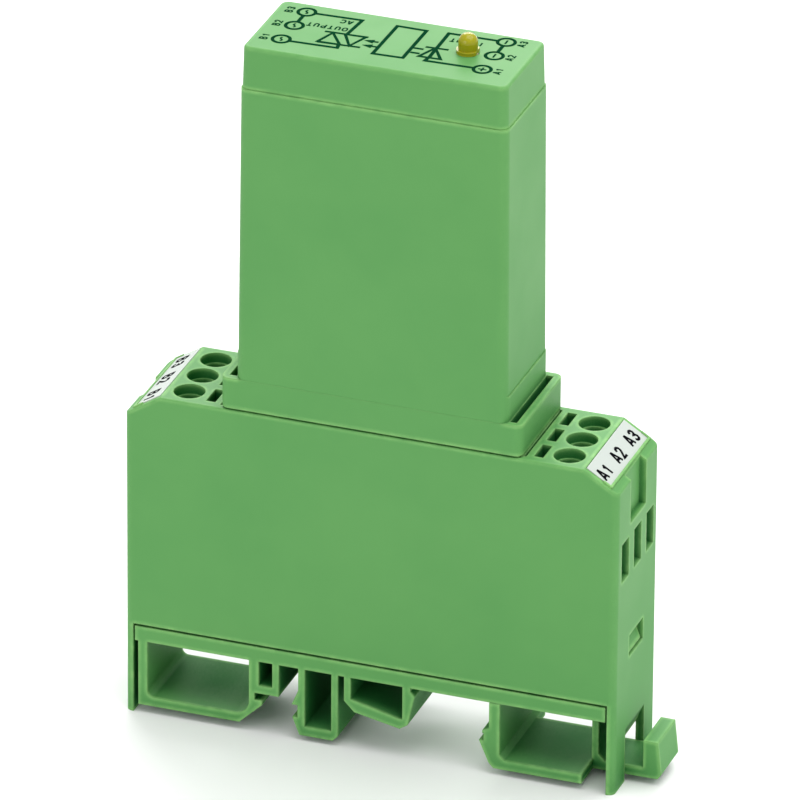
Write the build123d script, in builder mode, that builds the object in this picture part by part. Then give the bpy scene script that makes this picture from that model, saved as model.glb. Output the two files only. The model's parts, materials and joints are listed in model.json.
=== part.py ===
from build123d import *
import os

# Slim rail-mounted solid-state relay in a snap-together moulded housing.
# X runs along the housing, from the output terminals (-X) to the input terminals (+X),
# Y across its width and Z away from the rail. The origin is on the rail's centre line,
# midway across the housing, in the plane of the rail's front face. Millimetres.

os.makedirs("parts", exist_ok=True)

# Housing envelope
module_width = 18.0
body_length = 75.0
body_top = 45.1
leg_bottom = -6.5
chamfer_run = 5.3
chamfer_drop = 3.3
side_wall = 1.15
leg_wall = 1.2
corner_radius = 1.0
edge_radius = 0.3

# Foot strip that closes the housing
strip_bottom = 5.2
strip_thickness = 2.35
parting_gap = 0.35
foot_end_clearance = 0.25

# Rail interface: flange of a 35 mm rail, 1 mm thick
rail_width = 35.0
rail_flange = 1.0
rail_play = 0.15
fixed_catch = 1.1
latch_catch = 0.55

# Terminals
pole_pitch = 5.4
pole_count = 3
terminal_setback = 5.6
screw_setback = 3.0
access_radius = 2.3
access_depth = 1.5
head_radius = 1.85
head_height = 1.6
head_clearance = 0.1
shank_land = 0.6
driver_slot_width = 0.6
driver_slot_depth = 0.9
shank_radius = 1.25
thread_clearance = 0.06
chamber_width = 4.4
chamber_length = 7.7
chamber_wall = 1.0
roof_thickness = 4.7
partition = 1.0
test_slot_length = 3.9
test_slot_width = 1.4

# Wire clamp and contact bar
clamp_width = 3.9
clamp_depth = 5.0
clamp_side = 0.5
clamp_floor = 0.9
clamp_top = 1.6
clamp_rest_gap = 1.9
wire_gap = 4.3
bar_play = 0.4
bar_drop = 7.8
bar_thickness = 1.0
bar_width = 2.3
bar_clearance = 0.25
tip_clearance = 0.05

# Wire entry funnels in the end faces
entry_width = 3.1
entry_height = 6.1
entry_drop = 0.4
throat_width = 2.9
throat_height = 4.0
throat_rise = 0.1

# End face details
marker_end_gap = 0.9
marker_width = 4.3
marker_thickness = 0.9
marker_proud = 0.1
marker_edge = 0.2
marker_clearance = 0.05
recess_width = 6.7
recess_depth = 1.0
recess_drop = 10.2
snap_window_width = 6.1
snap_window_bottom = 13.25
snap_window_height = 3.4
snap_play = 0.25
arm_slot_width = 8.2
arm_slot_top = -1.0
arm_ramp_top = 2.0

# Hood and cap
hood_draft_x = 0.4
hood_draft_y = 0.25
hood_top = 96.0
hood_wall = 1.3
hood_corner = 1.2
hood_collar_height = 4.0
hood_collar_step = 0.22
skirt_ledge = 2.35
skirt_height = 5.1
skirt_rim = 1.1
skirt_floor = 0.9
shadow_gap = 0.3
shadow_depth = 0.5
end_gap = 0.35
plug_depth = 3.5
plug_wall = 1.2
plug_clearance = 0.15
cap_height = 6.5
cap_inset = 0.15
cap_draft = 0.15
cap_wall = 1.2
cap_top_thickness = 1.5
cap_plug_depth = 3.3
cap_plug_clearance = 0.15
cap_edge_radius = 0.45

# Status lamp
lamp_x = 10.7
lamp_radius = 1.42
lamp_flange_radius = 1.68
lamp_flange_height = 0.55
lamp_height = 3.0
lead_side = 0.5
lead_pitch = 2.54
lead_clearance = 0.1

# Foot mouldings under the strip
tray_depth = 10.4
tray_floor = 1.45
tray_wall = 1.4
tray_leg_gap = 0.75
tray_back_inset = 3.6
hook_corner = 2.2
hook_wall = 2.0
left_wall_face = -17.0
seat_wall = 1.3
seat_box_inner = -14.8
seat_box_wall = 1.0
hook_slope_run = 3.5
hook_lip_height = 0.7
block_wall = 1.0
block_a_left = -10.8
block_a_right = -4.7
block_a_depth = 10.8
block_a_tip_drop = 6.0
block_a_notch = 2.0
block_a_bulge = 1.0
block_b_left = -3.76
block_b_right = 6.4
block_b_depth_left = 5.5
block_b_depth_right = 6.9
block_b_lug = 0.65

# Foot latch
latch_wall_x = 18.45
latch_wall = 1.6
latch_floor = 1.5
latch_depth = 10.6
latch_leaf_inset = 3.9
latch_plate_lip = 0.2
latch_leaf = 1.0
latch_root_gap = 0.05
latch_side_clearance = 0.2
tab_gap = 2.7
tab_thickness = 2.2
tab_height = 5.9
tab_lean = 0.55

# Snap tongues and board clips on top of the strip
tongue_thickness = 1.0
tongue_width = 5.6
tongue_top = 17.0
clip_x = 12.0
clip_length = 4.0
clip_height = 4.5
clip_thickness = 1.0

# Circuit board
board_thickness = 1.6
board_margin = 2.5
board_head_room = 4.5
wing_clearance = 1.2
wing_bottom = 12.0
wing_gap = 3.6
board_play = 0.1
guide_overlap = 0.6
guide_thickness = 0.9
pin_side = 0.6
pin_hole_radius = 0.5
pin_stub = 1.0

# Values worked out from the sizes above
half_width = module_width / 2
half_length = body_length / 2
cavity_half_width = half_width - side_wall
leg_inner = half_length - leg_wall
strip_top = strip_bottom + strip_thickness
body_bottom = strip_top + parting_gap
shoulder_z = body_top - chamfer_drop
chamfer_start = half_length - chamfer_run
chamber_outer_x = half_length - terminal_setback
chamber_inner_x = chamber_outer_x - chamber_length
screw_x = chamber_outer_x - screw_setback
opening_half_length = chamber_inner_x - chamber_wall
chamber_roof = body_top - roof_thickness
head_seat = chamber_roof + shank_land
bar_bottom = chamber_roof - bar_drop - bar_thickness
clamp_window = wire_gap + bar_thickness + bar_play
clamp_floor_z = bar_bottom - wire_gap
clamp_bottom = clamp_floor_z - clamp_floor
chamber_floor = clamp_bottom - clamp_rest_gap
block_bottom = chamber_floor - partition
entry_bottom = clamp_floor_z - entry_drop
throat_bottom = clamp_floor_z + throat_rise
marker_length = module_width - 2 * marker_end_gap
recess_bottom = body_top - recess_drop
poles = [(index - (pole_count - 1) / 2) * pole_pitch for index in range(pole_count)]
ends = (1, -1)
chamber_centre = (chamber_outer_x + chamber_inner_x) / 2
board_half = board_thickness / 2
skirt_length = 2 * (opening_half_length - end_gap)
hood_length = skirt_length - 2 * skirt_ledge
board_width = hood_length - 2 * board_margin
board_end = board_width / 2
board_top = hood_top - board_head_room
wing_width = 2 * (opening_half_length - wing_clearance)
wing_top = body_top - plug_depth - wing_gap
cap_top = hood_top + cap_height
hood_top_length = hood_length - 2 * hood_draft_x
hood_top_width = module_width - 2 * hood_draft_y
notch_floor = -rail_flange - rail_play
fixed_notch_x = -rail_width / 2 - rail_play / 3
latch_notch_x = rail_width / 2 + rail_play
fixed_lip_x = -rail_width / 2 + fixed_catch
latch_lip_x = rail_width / 2 - latch_catch
left_tray_inner_right = fixed_lip_x - hook_wall
left_tray_outer = tray_leg_gap - leg_inner
tray_back = half_width - tray_back_inset
latch_leaf_x = leg_inner - latch_leaf_inset
latch_plate_end = latch_leaf_x + latch_plate_lip
tab_x = half_length + tab_gap


def centred_box(low, high, mode=Mode.ADD):
    """A box between two corners, in the active builder."""
    middle = [(a + b) / 2 for a, b in zip(low, high)]
    size = [b - a for a, b in zip(low, high)]
    with Locations(Location(tuple(middle))):
        Box(size[0], size[1], size[2], mode=mode)


# Lower housing: one moulding, its end walls running down as legs
with BuildPart() as lower_housing:
    with BuildSketch(Plane.XZ):
        with BuildLine():
            Polyline(
                (-half_length, leg_bottom),
                (-half_length, shoulder_z),
                (-chamfer_start, body_top),
                (chamfer_start, body_top),
                (half_length, shoulder_z),
                (half_length, leg_bottom),
                (leg_inner, leg_bottom),
                (leg_inner, body_bottom),
                (-leg_inner, body_bottom),
                (-leg_inner, leg_bottom),
                close=True,
            )
        make_face()
    extrude(amount=half_width, both=True)
    end_edges = lower_housing.edges().filter_by(Axis.Z).filter_by_position(
        Axis.X, half_length - edge_radius, half_length + edge_radius
    ) + lower_housing.edges().filter_by(Axis.Z).filter_by_position(
        Axis.X, -half_length - edge_radius, -half_length + edge_radius
    )
    fillet(end_edges, corner_radius)
    top_edges = lower_housing.edges().filter_by_position(
        Axis.Z, shoulder_z, body_top + edge_radius
    ).filter_by(lambda edge: abs(edge.center().Y) > half_width - edge_radius)
    fillet(top_edges.filter_by(lambda edge: edge.length > corner_radius), edge_radius)

    # Bay for the board and hood, and the hollow below the terminals
    centred_box(
        (-opening_half_length, -cavity_half_width, body_bottom),
        (opening_half_length, cavity_half_width, body_top),
        Mode.SUBTRACT,
    )
    centred_box(
        (-leg_inner, -cavity_half_width, body_bottom),
        (leg_inner, cavity_half_width, block_bottom),
        Mode.SUBTRACT,
    )

    for end in ends:
        # Clamp chambers with their test slots and the slots for the contact bars
        with BuildSketch(Plane.XY.offset(chamber_floor)):
            with Locations([(end * chamber_centre, y) for y in poles]):
                Rectangle(chamber_length, chamber_width)
        extrude(amount=chamber_roof - chamber_floor, mode=Mode.SUBTRACT)
        with BuildSketch(Plane.XY.offset(chamber_roof)):
            with Locations([(end * (chamber_inner_x + test_slot_width / 2), y) for y in poles]):
                Rectangle(test_slot_width, test_slot_length)
        extrude(amount=body_top - chamber_roof, mode=Mode.SUBTRACT)
        with BuildSketch(Plane.XY.offset(bar_bottom - bar_clearance)):
            with Locations([(end * (opening_half_length + chamber_inner_x) / 2, y) for y in poles]):
                Rectangle(2 * (chamber_inner_x - opening_half_length), bar_width + 2 * bar_clearance)
        extrude(amount=bar_thickness + 2 * bar_clearance, mode=Mode.SUBTRACT)

        # Screw wells: access hole, head bore and shank hole
        for y in poles:
            with Locations((end * screw_x, y, body_top)):
                CounterBoreHole(
                    radius=head_radius + head_clearance,
                    counter_bore_radius=access_radius,
                    counter_bore_depth=access_depth,
                    depth=body_top - head_seat,
                )
            with Locations((end * screw_x, y, head_seat)):
                Hole(shank_radius + bar_clearance, depth=head_seat - chamber_roof)

        # Wire entries, narrowing towards the clamps
        for y in poles:
            outer_face = Plane((end * half_length, y, 0), x_dir=(0, 1, 0), z_dir=(end, 0, 0))
            with BuildSketch(outer_face):
                with Locations((0, (entry_bottom + entry_height / 2) * outer_face.y_dir.Z)):
                    Rectangle(entry_width, entry_height)
            with BuildSketch(outer_face.offset(chamber_outer_x - half_length)):
                with Locations((0, (throat_bottom + throat_height / 2) * outer_face.y_dir.Z)):
                    Rectangle(throat_width, throat_height)
            loft(mode=Mode.SUBTRACT)

        # Seat for the marker strip on the chamfer
        slope = Plane(
            origin=(end * chamfer_start, 0, body_top),
            x_dir=(0, 1, 0),
            z_dir=(end * chamfer_drop, 0, chamfer_run),
        )
        with BuildSketch(slope):
            with Locations((0, -end * (marker_edge + marker_width / 2))):
                Rectangle(
                    marker_length + 2 * marker_clearance,
                    marker_width + 2 * marker_clearance,
                )
        extrude(amount=-(marker_thickness - marker_proud), mode=Mode.SUBTRACT)

        # Shallow recess, snap window, ramp and slot for the latch arm
        centred_box(
            (min(end * half_length, end * (half_length - recess_depth)), -recess_width / 2, recess_bottom),
            (max(end * half_length, end * (half_length - recess_depth)), recess_width / 2, body_top),
            Mode.SUBTRACT,
        )
        centred_box(
            (min(end * half_length, end * leg_inner), -snap_window_width / 2, snap_window_bottom),
            (max(end * half_length, end * leg_inner), snap_window_width / 2,
             snap_window_bottom + snap_window_height),
            Mode.SUBTRACT,
        )
        with BuildSketch(Plane.XZ):
            with BuildLine():
                Polyline(
                    (end * half_length, arm_ramp_top),
                    (end * leg_inner, arm_slot_top),
                    (end * leg_inner, leg_bottom),
                    (end * half_length, leg_bottom),
                    close=True,
                )
            make_face()
        extrude(amount=arm_slot_width / 2, both=True, mode=Mode.SUBTRACT)
lower_housing.part.label = "lower_housing"
export_step(lower_housing.part, "parts/lower_housing.step")


# Mounting foot: strip, fixed hook tray, rail seat and the two hollow centre blocks
strip_half = leg_inner - foot_end_clearance
tray_bottom = strip_bottom - tray_depth
tray_inner_bottom = tray_bottom + tray_floor
block_a_bottom = strip_bottom - block_a_depth
block_b_left_z = strip_bottom - block_b_depth_left
block_b_right_z = strip_bottom - block_b_depth_right
seat_right = seat_box_inner + seat_box_wall
tray_inner_left = left_tray_outer + tray_wall
seat_box_left = left_wall_face + tray_wall / 14
inner_corner = 1.0
hook_bottom_x = fixed_lip_x - hook_slope_run
tip_z = strip_bottom - block_a_tip_drop
notch_low_z = tip_z - block_a_notch
block_corner = 0.8

with BuildPart() as mounting_foot:
    with BuildSketch(Plane.XZ):
        with Locations((0, (strip_bottom + strip_top) / 2)):
            Rectangle(2 * strip_half, strip_thickness)
        # Fixed hook tray with the rail notch and the seat beside it
        with BuildLine():
            Polyline(
                (left_tray_outer, strip_bottom),
                (left_tray_outer, tray_bottom),
                (hook_bottom_x, tray_bottom),
                (fixed_lip_x, notch_floor - hook_lip_height),
                (fixed_lip_x, notch_floor),
                (fixed_notch_x, notch_floor),
                (fixed_notch_x, 0),
                (seat_right, 0),
                (seat_right, strip_bottom),
                close=True,
            )
        make_face()
        # Hollow block that drops into the rail, notched on its left flank
        with BuildLine():
            Polyline(
                (block_a_left, strip_bottom),
                (block_a_left, tip_z + block_a_tip_drop / 2.5),
                (block_a_left - block_a_bulge, tip_z),
                (block_a_left - block_a_bulge / 10, tip_z),
                (block_a_left - block_a_bulge / 10, notch_low_z),
                (block_a_left - 0.9 * block_a_bulge, notch_low_z),
                (block_a_left + block_a_bulge / 5, block_a_bottom),
                (block_a_right - block_corner, block_a_bottom),
                (block_a_right, block_a_bottom + block_corner),
                (block_a_right, strip_bottom),
                close=True,
            )
        make_face()
        # Shallow block with a sloping floor and a small lug
        with BuildLine():
            Polyline(
                (block_b_left, strip_bottom),
                (block_b_left, block_b_left_z + 2 * block_corner),
                (block_b_left + 2 * block_corner, block_b_left_z),
                (block_b_right - 2 * block_corner, block_b_right_z),
                (block_b_right - block_corner / 2, block_b_right_z + block_corner),
                (block_b_right + block_b_lug, strip_bottom - 2 * block_b_lug),
                (block_b_right, strip_bottom - block_b_lug),
                (block_b_right, strip_bottom),
                close=True,
            )
        make_face()
        # Hollows of tray, seat and blocks, open right across
        with BuildLine():
            Polyline(
                (tray_inner_left, strip_bottom),
                (tray_inner_left, tray_inner_bottom),
                (left_tray_inner_right, tray_inner_bottom),
                (left_tray_inner_right, strip_bottom),
                close=True,
            )
        make_face(mode=Mode.SUBTRACT)
        with BuildLine():
            Polyline(
                (seat_box_left, strip_bottom),
                (seat_box_left, seat_wall),
                (seat_box_inner, seat_wall),
                (seat_box_inner, strip_bottom),
                close=True,
            )
        make_face(mode=Mode.SUBTRACT)
        with BuildLine():
            Polyline(
                (block_a_left + block_wall, strip_bottom),
                (block_a_left + block_wall, block_a_bottom + 1.5 * block_wall),
                (block_a_right - block_wall, block_a_bottom + 1.5 * block_wall),
                (block_a_right - block_wall, strip_bottom),
                close=True,
            )
        make_face(mode=Mode.SUBTRACT)
        with BuildLine():
            Polyline(
                (block_b_left + block_wall, strip_bottom),
                (block_b_left + block_wall, block_b_left_z + 2 * block_wall),
                (block_b_right - 2 * block_corner, block_b_right_z + 1.6 * block_wall),
                (block_b_right - 1.2 * block_wall, block_b_right_z + 1.6 * block_wall),
                (block_b_right - 1.2 * block_wall, strip_bottom),
                close=True,
            )
        make_face(mode=Mode.SUBTRACT)
    extrude(amount=half_width, both=True)
    floor_edges = mounting_foot.edges().filter_by(Axis.Y).filter_by_position(
        Axis.Z, tray_inner_bottom, tray_inner_bottom
    ).filter_by_position(Axis.X, left_tray_outer, left_tray_inner_right).sort_by(Axis.X)
    fillet(floor_edges[0], inner_corner)
    fillet(floor_edges[-1], hook_corner)
    # The hook tray stops short of the far face, its hook runs on to it
    centred_box(
        (left_tray_outer, tray_back, tray_bottom),
        (left_tray_inner_right, half_width, strip_bottom),
        Mode.SUBTRACT,
    )

    # Snap tongues that catch in the housing's end windows
    barb_bottom = snap_window_bottom + snap_play
    barb_height = snap_window_height - 2 * snap_play
    for end in ends:
        with BuildSketch(Plane.XZ):
            with BuildLine():
                Polyline(
                    (end * (strip_half - tongue_thickness), strip_top),
                    (end * (strip_half - tongue_thickness), tongue_top),
                    (end * strip_half, tongue_top),
                    (end * strip_half, barb_bottom + barb_height),
                    (end * (half_length - snap_play), barb_bottom),
                    (end * strip_half, barb_bottom),
                    (end * strip_half, strip_top),
                    close=True,
                )
            make_face()
        extrude(amount=tongue_width / 2, both=True)

    # Clips that hold the lower edge of the board
    with BuildSketch(Plane.XY.offset(strip_top)):
        clip_y = board_half + board_play + clip_thickness / 2
        with Locations([(x, y) for x in (-clip_x, clip_x) for y in (-clip_y, clip_y)]):
            Rectangle(clip_length, clip_thickness)
    extrude(amount=clip_height)
mounting_foot.part.label = "mounting_foot"
export_step(mounting_foot.part, "parts/mounting_foot.step")


# Foot latch: movable hook, spring leaf and release tab, drawn back along +X
latch_bottom = strip_bottom - latch_depth
latch_inner_bottom = latch_bottom + latch_floor
latch_root = strip_bottom - latch_root_gap
arm_width = arm_slot_width - 2 * latch_side_clearance
with BuildPart() as foot_latch:
    with BuildSketch(Plane.XZ):
        with BuildLine():
            Polyline(
                (latch_wall_x, latch_root),
                (latch_wall_x, rail_flange),
                (latch_lip_x + rail_flange / 2, rail_flange / 2),
                (latch_lip_x + rail_flange / 2, 0),
                (latch_notch_x, 0),
                (latch_notch_x, notch_floor),
                (latch_lip_x, notch_floor),
                (latch_wall_x, latch_bottom + latch_floor / 2),
                (latch_wall_x + latch_floor / 2, latch_bottom),
                (latch_plate_end, latch_bottom),
                (latch_plate_end, latch_inner_bottom),
                (latch_wall_x + latch_wall + latch_floor / 2, latch_inner_bottom),
                (latch_wall_x + latch_wall, latch_inner_bottom + latch_floor / 2),
                (latch_wall_x + latch_wall, latch_root),
                close=True,
            )
        make_face()
    extrude(amount=half_width, both=True)
    centred_box(
        (latch_wall_x + latch_wall + latch_floor / 2, tray_back, latch_bottom),
        (latch_plate_end, half_width, latch_inner_bottom),
        Mode.SUBTRACT,
    )
    # Narrow arm with its spring leaf and the tab outside the end wall
    with BuildSketch(Plane.XZ):
        with BuildLine():
            Polyline(
                (latch_plate_end - latch_leaf, latch_bottom),
                (tab_x + tab_thickness, latch_bottom),
                (tab_x + tab_thickness + tab_lean, latch_bottom + latch_floor / 2),
                (tab_x + tab_thickness, latch_bottom + tab_height),
                (tab_x, latch_bottom + tab_height),
                (tab_x, latch_inner_bottom),
                (latch_leaf_x + 2 * latch_leaf, latch_inner_bottom),
                (latch_leaf_x + latch_leaf, latch_inner_bottom + latch_leaf),
                (latch_leaf_x + latch_leaf, latch_root),
                (latch_leaf_x, latch_root),
                (latch_leaf_x, latch_inner_bottom),
                (latch_plate_end - latch_leaf, latch_inner_bottom),
                close=True,
            )
        make_face()
    extrude(amount=arm_width / 2, both=True)
foot_latch.part.label = "foot_latch"
export_step(foot_latch.part, "parts/foot_latch.step")


# Upper hood with its end rims, plugged into the lower housing
plug_half_width = cavity_half_width - plug_clearance
with BuildPart() as upper_hood:
    with BuildSketch(Plane.XY.offset(body_top)):
        RectangleRounded(hood_length, module_width, hood_corner)
    with BuildSketch(Plane.XY.offset(hood_top)):
        RectangleRounded(hood_top_length, hood_top_width, hood_corner)
    loft()
    with BuildSketch(Plane.XY.offset(body_top)):
        RectangleRounded(skirt_length, module_width, hood_corner)
    extrude(amount=skirt_height)
    with BuildSketch(Plane.XY.offset(body_top + skirt_height)):
        RectangleRounded(
            hood_length + hood_collar_step,
            module_width - 2 * hood_draft_y,
            hood_corner,
        )
    extrude(amount=hood_collar_height)
    with BuildSketch(Plane.XY.offset(body_top - plug_depth)):
        Rectangle(skirt_length, 2 * plug_half_width)
    extrude(amount=plug_depth)
    # Inside of the hood, above the ledge that carries the plug's walls
    with BuildSketch(Plane.XY.offset(body_top + skirt_floor)):
        Rectangle(hood_length - 2 * hood_wall, module_width - 2 * hood_wall)
    with BuildSketch(Plane.XY.offset(hood_top)):
        Rectangle(hood_top_length - 2 * hood_wall, hood_top_width - 2 * hood_wall)
    loft(mode=Mode.SUBTRACT)
    with BuildSketch(Plane.XY.offset(body_top - plug_depth)):
        Rectangle(skirt_length - 2 * plug_wall, 2 * (plug_half_width - plug_wall))
    extrude(amount=plug_depth - skirt_floor, mode=Mode.SUBTRACT)
    centred_box(
        (-hood_length / 2 + hood_wall, -plug_half_width + plug_wall, body_top - skirt_floor),
        (hood_length / 2 - hood_wall, plug_half_width - plug_wall, body_top + skirt_floor),
        Mode.SUBTRACT,
    )
    # Channels between the end rims and the hood
    channel_width = (skirt_length - hood_length) / 2 - skirt_rim
    with BuildSketch(Plane.XY.offset(body_top + skirt_floor)):
        channel_x = hood_length / 2 + hood_collar_step / 2 + channel_width / 2
        with Locations([(end * channel_x, 0) for end in ends]):
            Rectangle(channel_width - hood_collar_step, module_width - 2 * skirt_rim)
    extrude(amount=skirt_height, mode=Mode.SUBTRACT)
    # Shadow groove where the skirt meets the housing
    with BuildSketch(Plane.XY.offset(body_top)):
        RectangleRounded(skirt_length, module_width, hood_corner)
        Rectangle(
            skirt_length - 2 * shadow_depth,
            module_width - 2 * shadow_depth,
            mode=Mode.SUBTRACT,
        )
    extrude(amount=shadow_gap, mode=Mode.SUBTRACT)
    # Guide ribs for the edges of the board
    guide_y = board_half + board_play + guide_thickness / 2
    guide_low = body_top + skirt_height
    guide_high = hood_top - cap_plug_depth - guide_thickness
    guide_tip = board_width / 2 - guide_overlap
    guide_root = hood_top_length / 2 - hood_wall / 4
    for end in ends:
        for side in ends:
            rib_x = sorted((end * guide_tip, end * guide_root))
            centred_box(
                (rib_x[0], side * guide_y - guide_thickness / 2, guide_low),
                (rib_x[1], side * guide_y + guide_thickness / 2, guide_high),
            )
upper_hood.part.label = "upper_hood"
export_step(upper_hood.part, "parts/upper_hood.step")


# Top cap with holes for the lamp leads
cap_length = hood_top_length - 2 * cap_inset
cap_width = hood_top_width - 2 * cap_inset
lamp_y = board_half + lead_side / 2
cap_plug_length = hood_top_length - 2 * hood_wall - 2 * cap_plug_clearance
cap_plug_width = hood_top_width - 2 * hood_wall - 2 * cap_plug_clearance
lead_places = [(lamp_x + side * lead_pitch / 2, lamp_y) for side in ends]
with BuildPart() as top_cap:
    with BuildSketch(Plane.XY.offset(hood_top)):
        RectangleRounded(cap_length, cap_width, hood_corner)
    with BuildSketch(Plane.XY.offset(cap_top)):
        RectangleRounded(cap_length - 2 * cap_draft, cap_width - 2 * cap_draft, hood_corner)
    loft()
    fillet(top_cap.faces().sort_by(Axis.Z)[-1].edges(), cap_edge_radius)
    with BuildSketch(Plane.XY.offset(hood_top - cap_plug_depth)):
        Rectangle(cap_plug_length, cap_plug_width)
    extrude(amount=cap_plug_depth)
    with BuildSketch(Plane.XY.offset(hood_top - cap_plug_depth)):
        Rectangle(cap_plug_length - 2 * cap_wall, cap_plug_width - 2 * cap_wall)
    extrude(amount=cap_plug_depth + cap_height - cap_top_thickness, mode=Mode.SUBTRACT)
    with BuildSketch(Plane.XY.offset(cap_top - cap_top_thickness)):
        with Locations(lead_places):
            Rectangle(lead_side + 2 * lead_clearance, lead_side + 2 * lead_clearance)
    extrude(amount=cap_top_thickness, mode=Mode.SUBTRACT)
top_cap.part.label = "top_cap"
export_step(top_cap.part, "parts/top_cap.step")


# Status lamp: flanged dome standing on the cap
with BuildPart() as status_lamp:
    with BuildSketch(Plane((lamp_x, lamp_y, cap_top), x_dir=(1, 0, 0), z_dir=(0, -1, 0))):
        with BuildLine():
            dome_base = lamp_height - lamp_radius
            Line((0, 0), (lamp_flange_radius, 0))
            Line((lamp_flange_radius, 0), (lamp_flange_radius, lamp_flange_height))
            Line((lamp_flange_radius, lamp_flange_height), (lamp_radius, lamp_flange_height))
            Line((lamp_radius, lamp_flange_height), (lamp_radius, dome_base))
            RadiusArc((lamp_radius, dome_base), (0, lamp_height), -lamp_radius)
            Line((0, lamp_height), (0, 0))
        make_face()
    revolve(axis=Axis((lamp_x, lamp_y, cap_top), (0, 0, 1)))
    # Flat on the flange that marks the cathode
    flat = lamp_flange_radius - lamp_radius
    centred_box(
        (lamp_x + lamp_radius, lamp_y - lamp_flange_radius, cap_top),
        (lamp_x + lamp_radius + flat, lamp_y + lamp_flange_radius, cap_top + lamp_flange_height),
        Mode.SUBTRACT,
    )
status_lamp.part.label = "status_lamp"
export_step(status_lamp.part, "parts/status_lamp.step")

lead_overlap = 4.0
with BuildPart() as lamp_leads:
    with BuildSketch(Plane.XY.offset(board_top - lead_overlap)):
        with Locations(lead_places):
            Rectangle(lead_side, lead_side)
    extrude(amount=cap_top - board_top + lead_overlap)
lamp_leads.part.label = "lamp_leads"
export_step(lamp_leads.part, "parts/lamp_leads.step")


# Marker strips, clipped into the chamfers
for end, name in zip(ends, ("marker_strip_a", "marker_strip_b")):
    slope = Plane(
        origin=(end * chamfer_start, 0, body_top),
        x_dir=(0, 1, 0),
        z_dir=(end * chamfer_drop, 0, chamfer_run),
    )
    with BuildPart() as marker_strip:
        with BuildSketch(slope.offset(marker_proud - marker_thickness)):
            with Locations((0, -end * (marker_edge + marker_width / 2))):
                Rectangle(marker_length, marker_width)
        extrude(amount=marker_thickness)
    marker_strip.part.label = name
    export_step(marker_strip.part, f"parts/{name}.step")


# Terminals: screw, rising clamp and contact bar for each pole
bar_top = bar_bottom + bar_thickness
clamp_height = clamp_floor + clamp_window + clamp_top
tail_width = 1.2
tail_inset = 2.0
tail_x = wing_width / 2 - tail_inset
bar_end = screw_x + clamp_depth / 2
link_gap = 0.1
link_drop = 4.0
lug_clearance = 1.2
for end, letter in zip(ends, "ab"):
    for number, y in enumerate(poles, start=1):
        with BuildPart() as terminal_screw:
            with BuildSketch(Plane.XY.offset(bar_top + tip_clearance)):
                with Locations((end * screw_x, y)):
                    Circle(shank_radius)
            extrude(amount=head_seat - bar_top - tip_clearance)
            with BuildSketch(Plane.XY.offset(head_seat)):
                with Locations((end * screw_x, y)):
                    Circle(head_radius)
            extrude(amount=head_height)
            with BuildSketch(Plane.XY.offset(head_seat + head_height)):
                with Locations((end * screw_x, y)):
                    Rectangle(2 * head_radius, driver_slot_width)
            extrude(amount=-driver_slot_depth, mode=Mode.SUBTRACT)
        terminal_screw.part.label = f"terminal_screw_{letter}{number}"
        export_step(terminal_screw.part, f"parts/terminal_screw_{letter}{number}.step")

        with BuildPart() as wire_clamp:
            with BuildSketch(Plane.YZ.offset(end * screw_x - clamp_depth / 2)):
                with Locations((y, clamp_bottom + clamp_height / 2)):
                    Rectangle(clamp_width, clamp_height)
                with Locations((y, clamp_floor_z + clamp_window / 2)):
                    Rectangle(clamp_width - 2 * clamp_side, clamp_window, mode=Mode.SUBTRACT)
            extrude(amount=clamp_depth)
            with Locations((end * screw_x, y, clamp_bottom + clamp_height)):
                Hole(shank_radius + thread_clearance, depth=clamp_top)
        wire_clamp.part.label = f"wire_clamp_{letter}{number}"
        export_step(wire_clamp.part, f"parts/wire_clamp_{letter}{number}.step")

        # The outer bars turn in to the board's faces, the middle one drops beside its edge
        with BuildPart() as contact_bar:
            if y == 0:
                inner_x = wing_width / 2 + link_gap
            else:
                inner_x = tail_x
            bar_x = sorted((end * inner_x, end * bar_end))
            centred_box(
                (bar_x[0], y - bar_width / 2, bar_bottom),
                (bar_x[1], y + bar_width / 2, bar_top),
            )
            if y == 0:
                link_x = sorted((end * inner_x, end * (inner_x + bar_thickness)))
                centred_box(
                    (link_x[0], -bar_width / 2, bar_bottom - link_drop),
                    (link_x[1], board_half + bar_thickness, bar_bottom),
                )
                lug_x = sorted((end * (inner_x - 2 * tail_width), end * inner_x))
                centred_box(
                    (lug_x[0], board_half, bar_bottom - link_drop),
                    (lug_x[1], board_half + bar_thickness, bar_bottom - lug_clearance),
                )
            else:
                foot_y = board_half if y > 0 else -board_half
                tail_y = sorted((foot_y, y))
                tail_span = sorted((end * tail_x, end * (tail_x + tail_width)))
                centred_box(
                    (tail_span[0], tail_y[0], bar_bottom),
                    (tail_span[1], tail_y[1], bar_top),
                )
        contact_bar.part.label = f"contact_bar_{letter}{number}"
        export_step(contact_bar.part, f"parts/contact_bar_{letter}{number}.step")


# Components on the board. Front components stand towards -Y, back ones towards +Y.
plate_gap = 0.4
plate_thickness = 1.4
plate_face_y = plate_thickness + plate_gap + hood_wall - hood_top_width / 2
plate_rise = 4.0
plate_top_gap = 5.5
plate_end_inset = (3.0, 5.0)
plate_low = (plate_end_inset[0] - board_end, body_top + skirt_floor + plate_rise)
plate_high = (board_end - plate_end_inset[1], board_top - plate_top_gap)

triac_inset = 12.0
triac_foot_rise = 7.0
triac_lead_length = 5.0
triac_x = plate_low[0] + triac_inset
triac_foot_z = plate_low[1] + triac_foot_rise
triac_body_z = triac_foot_z + triac_lead_length
triac_width = 10.0
triac_body_height = 9.2
triac_clearance = 0.45
triac_thickness = -plate_face_y - board_half - triac_clearance
triac_tab_height = 6.3
triac_tab_thickness = 1.3
triac_hole_radius = 1.8
triac_hole_height = 3.2
fixing_radius = 1.5
fixing_head_radius = 2.7
fixing_head_height = 2.0
hole_play = 0.05

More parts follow.
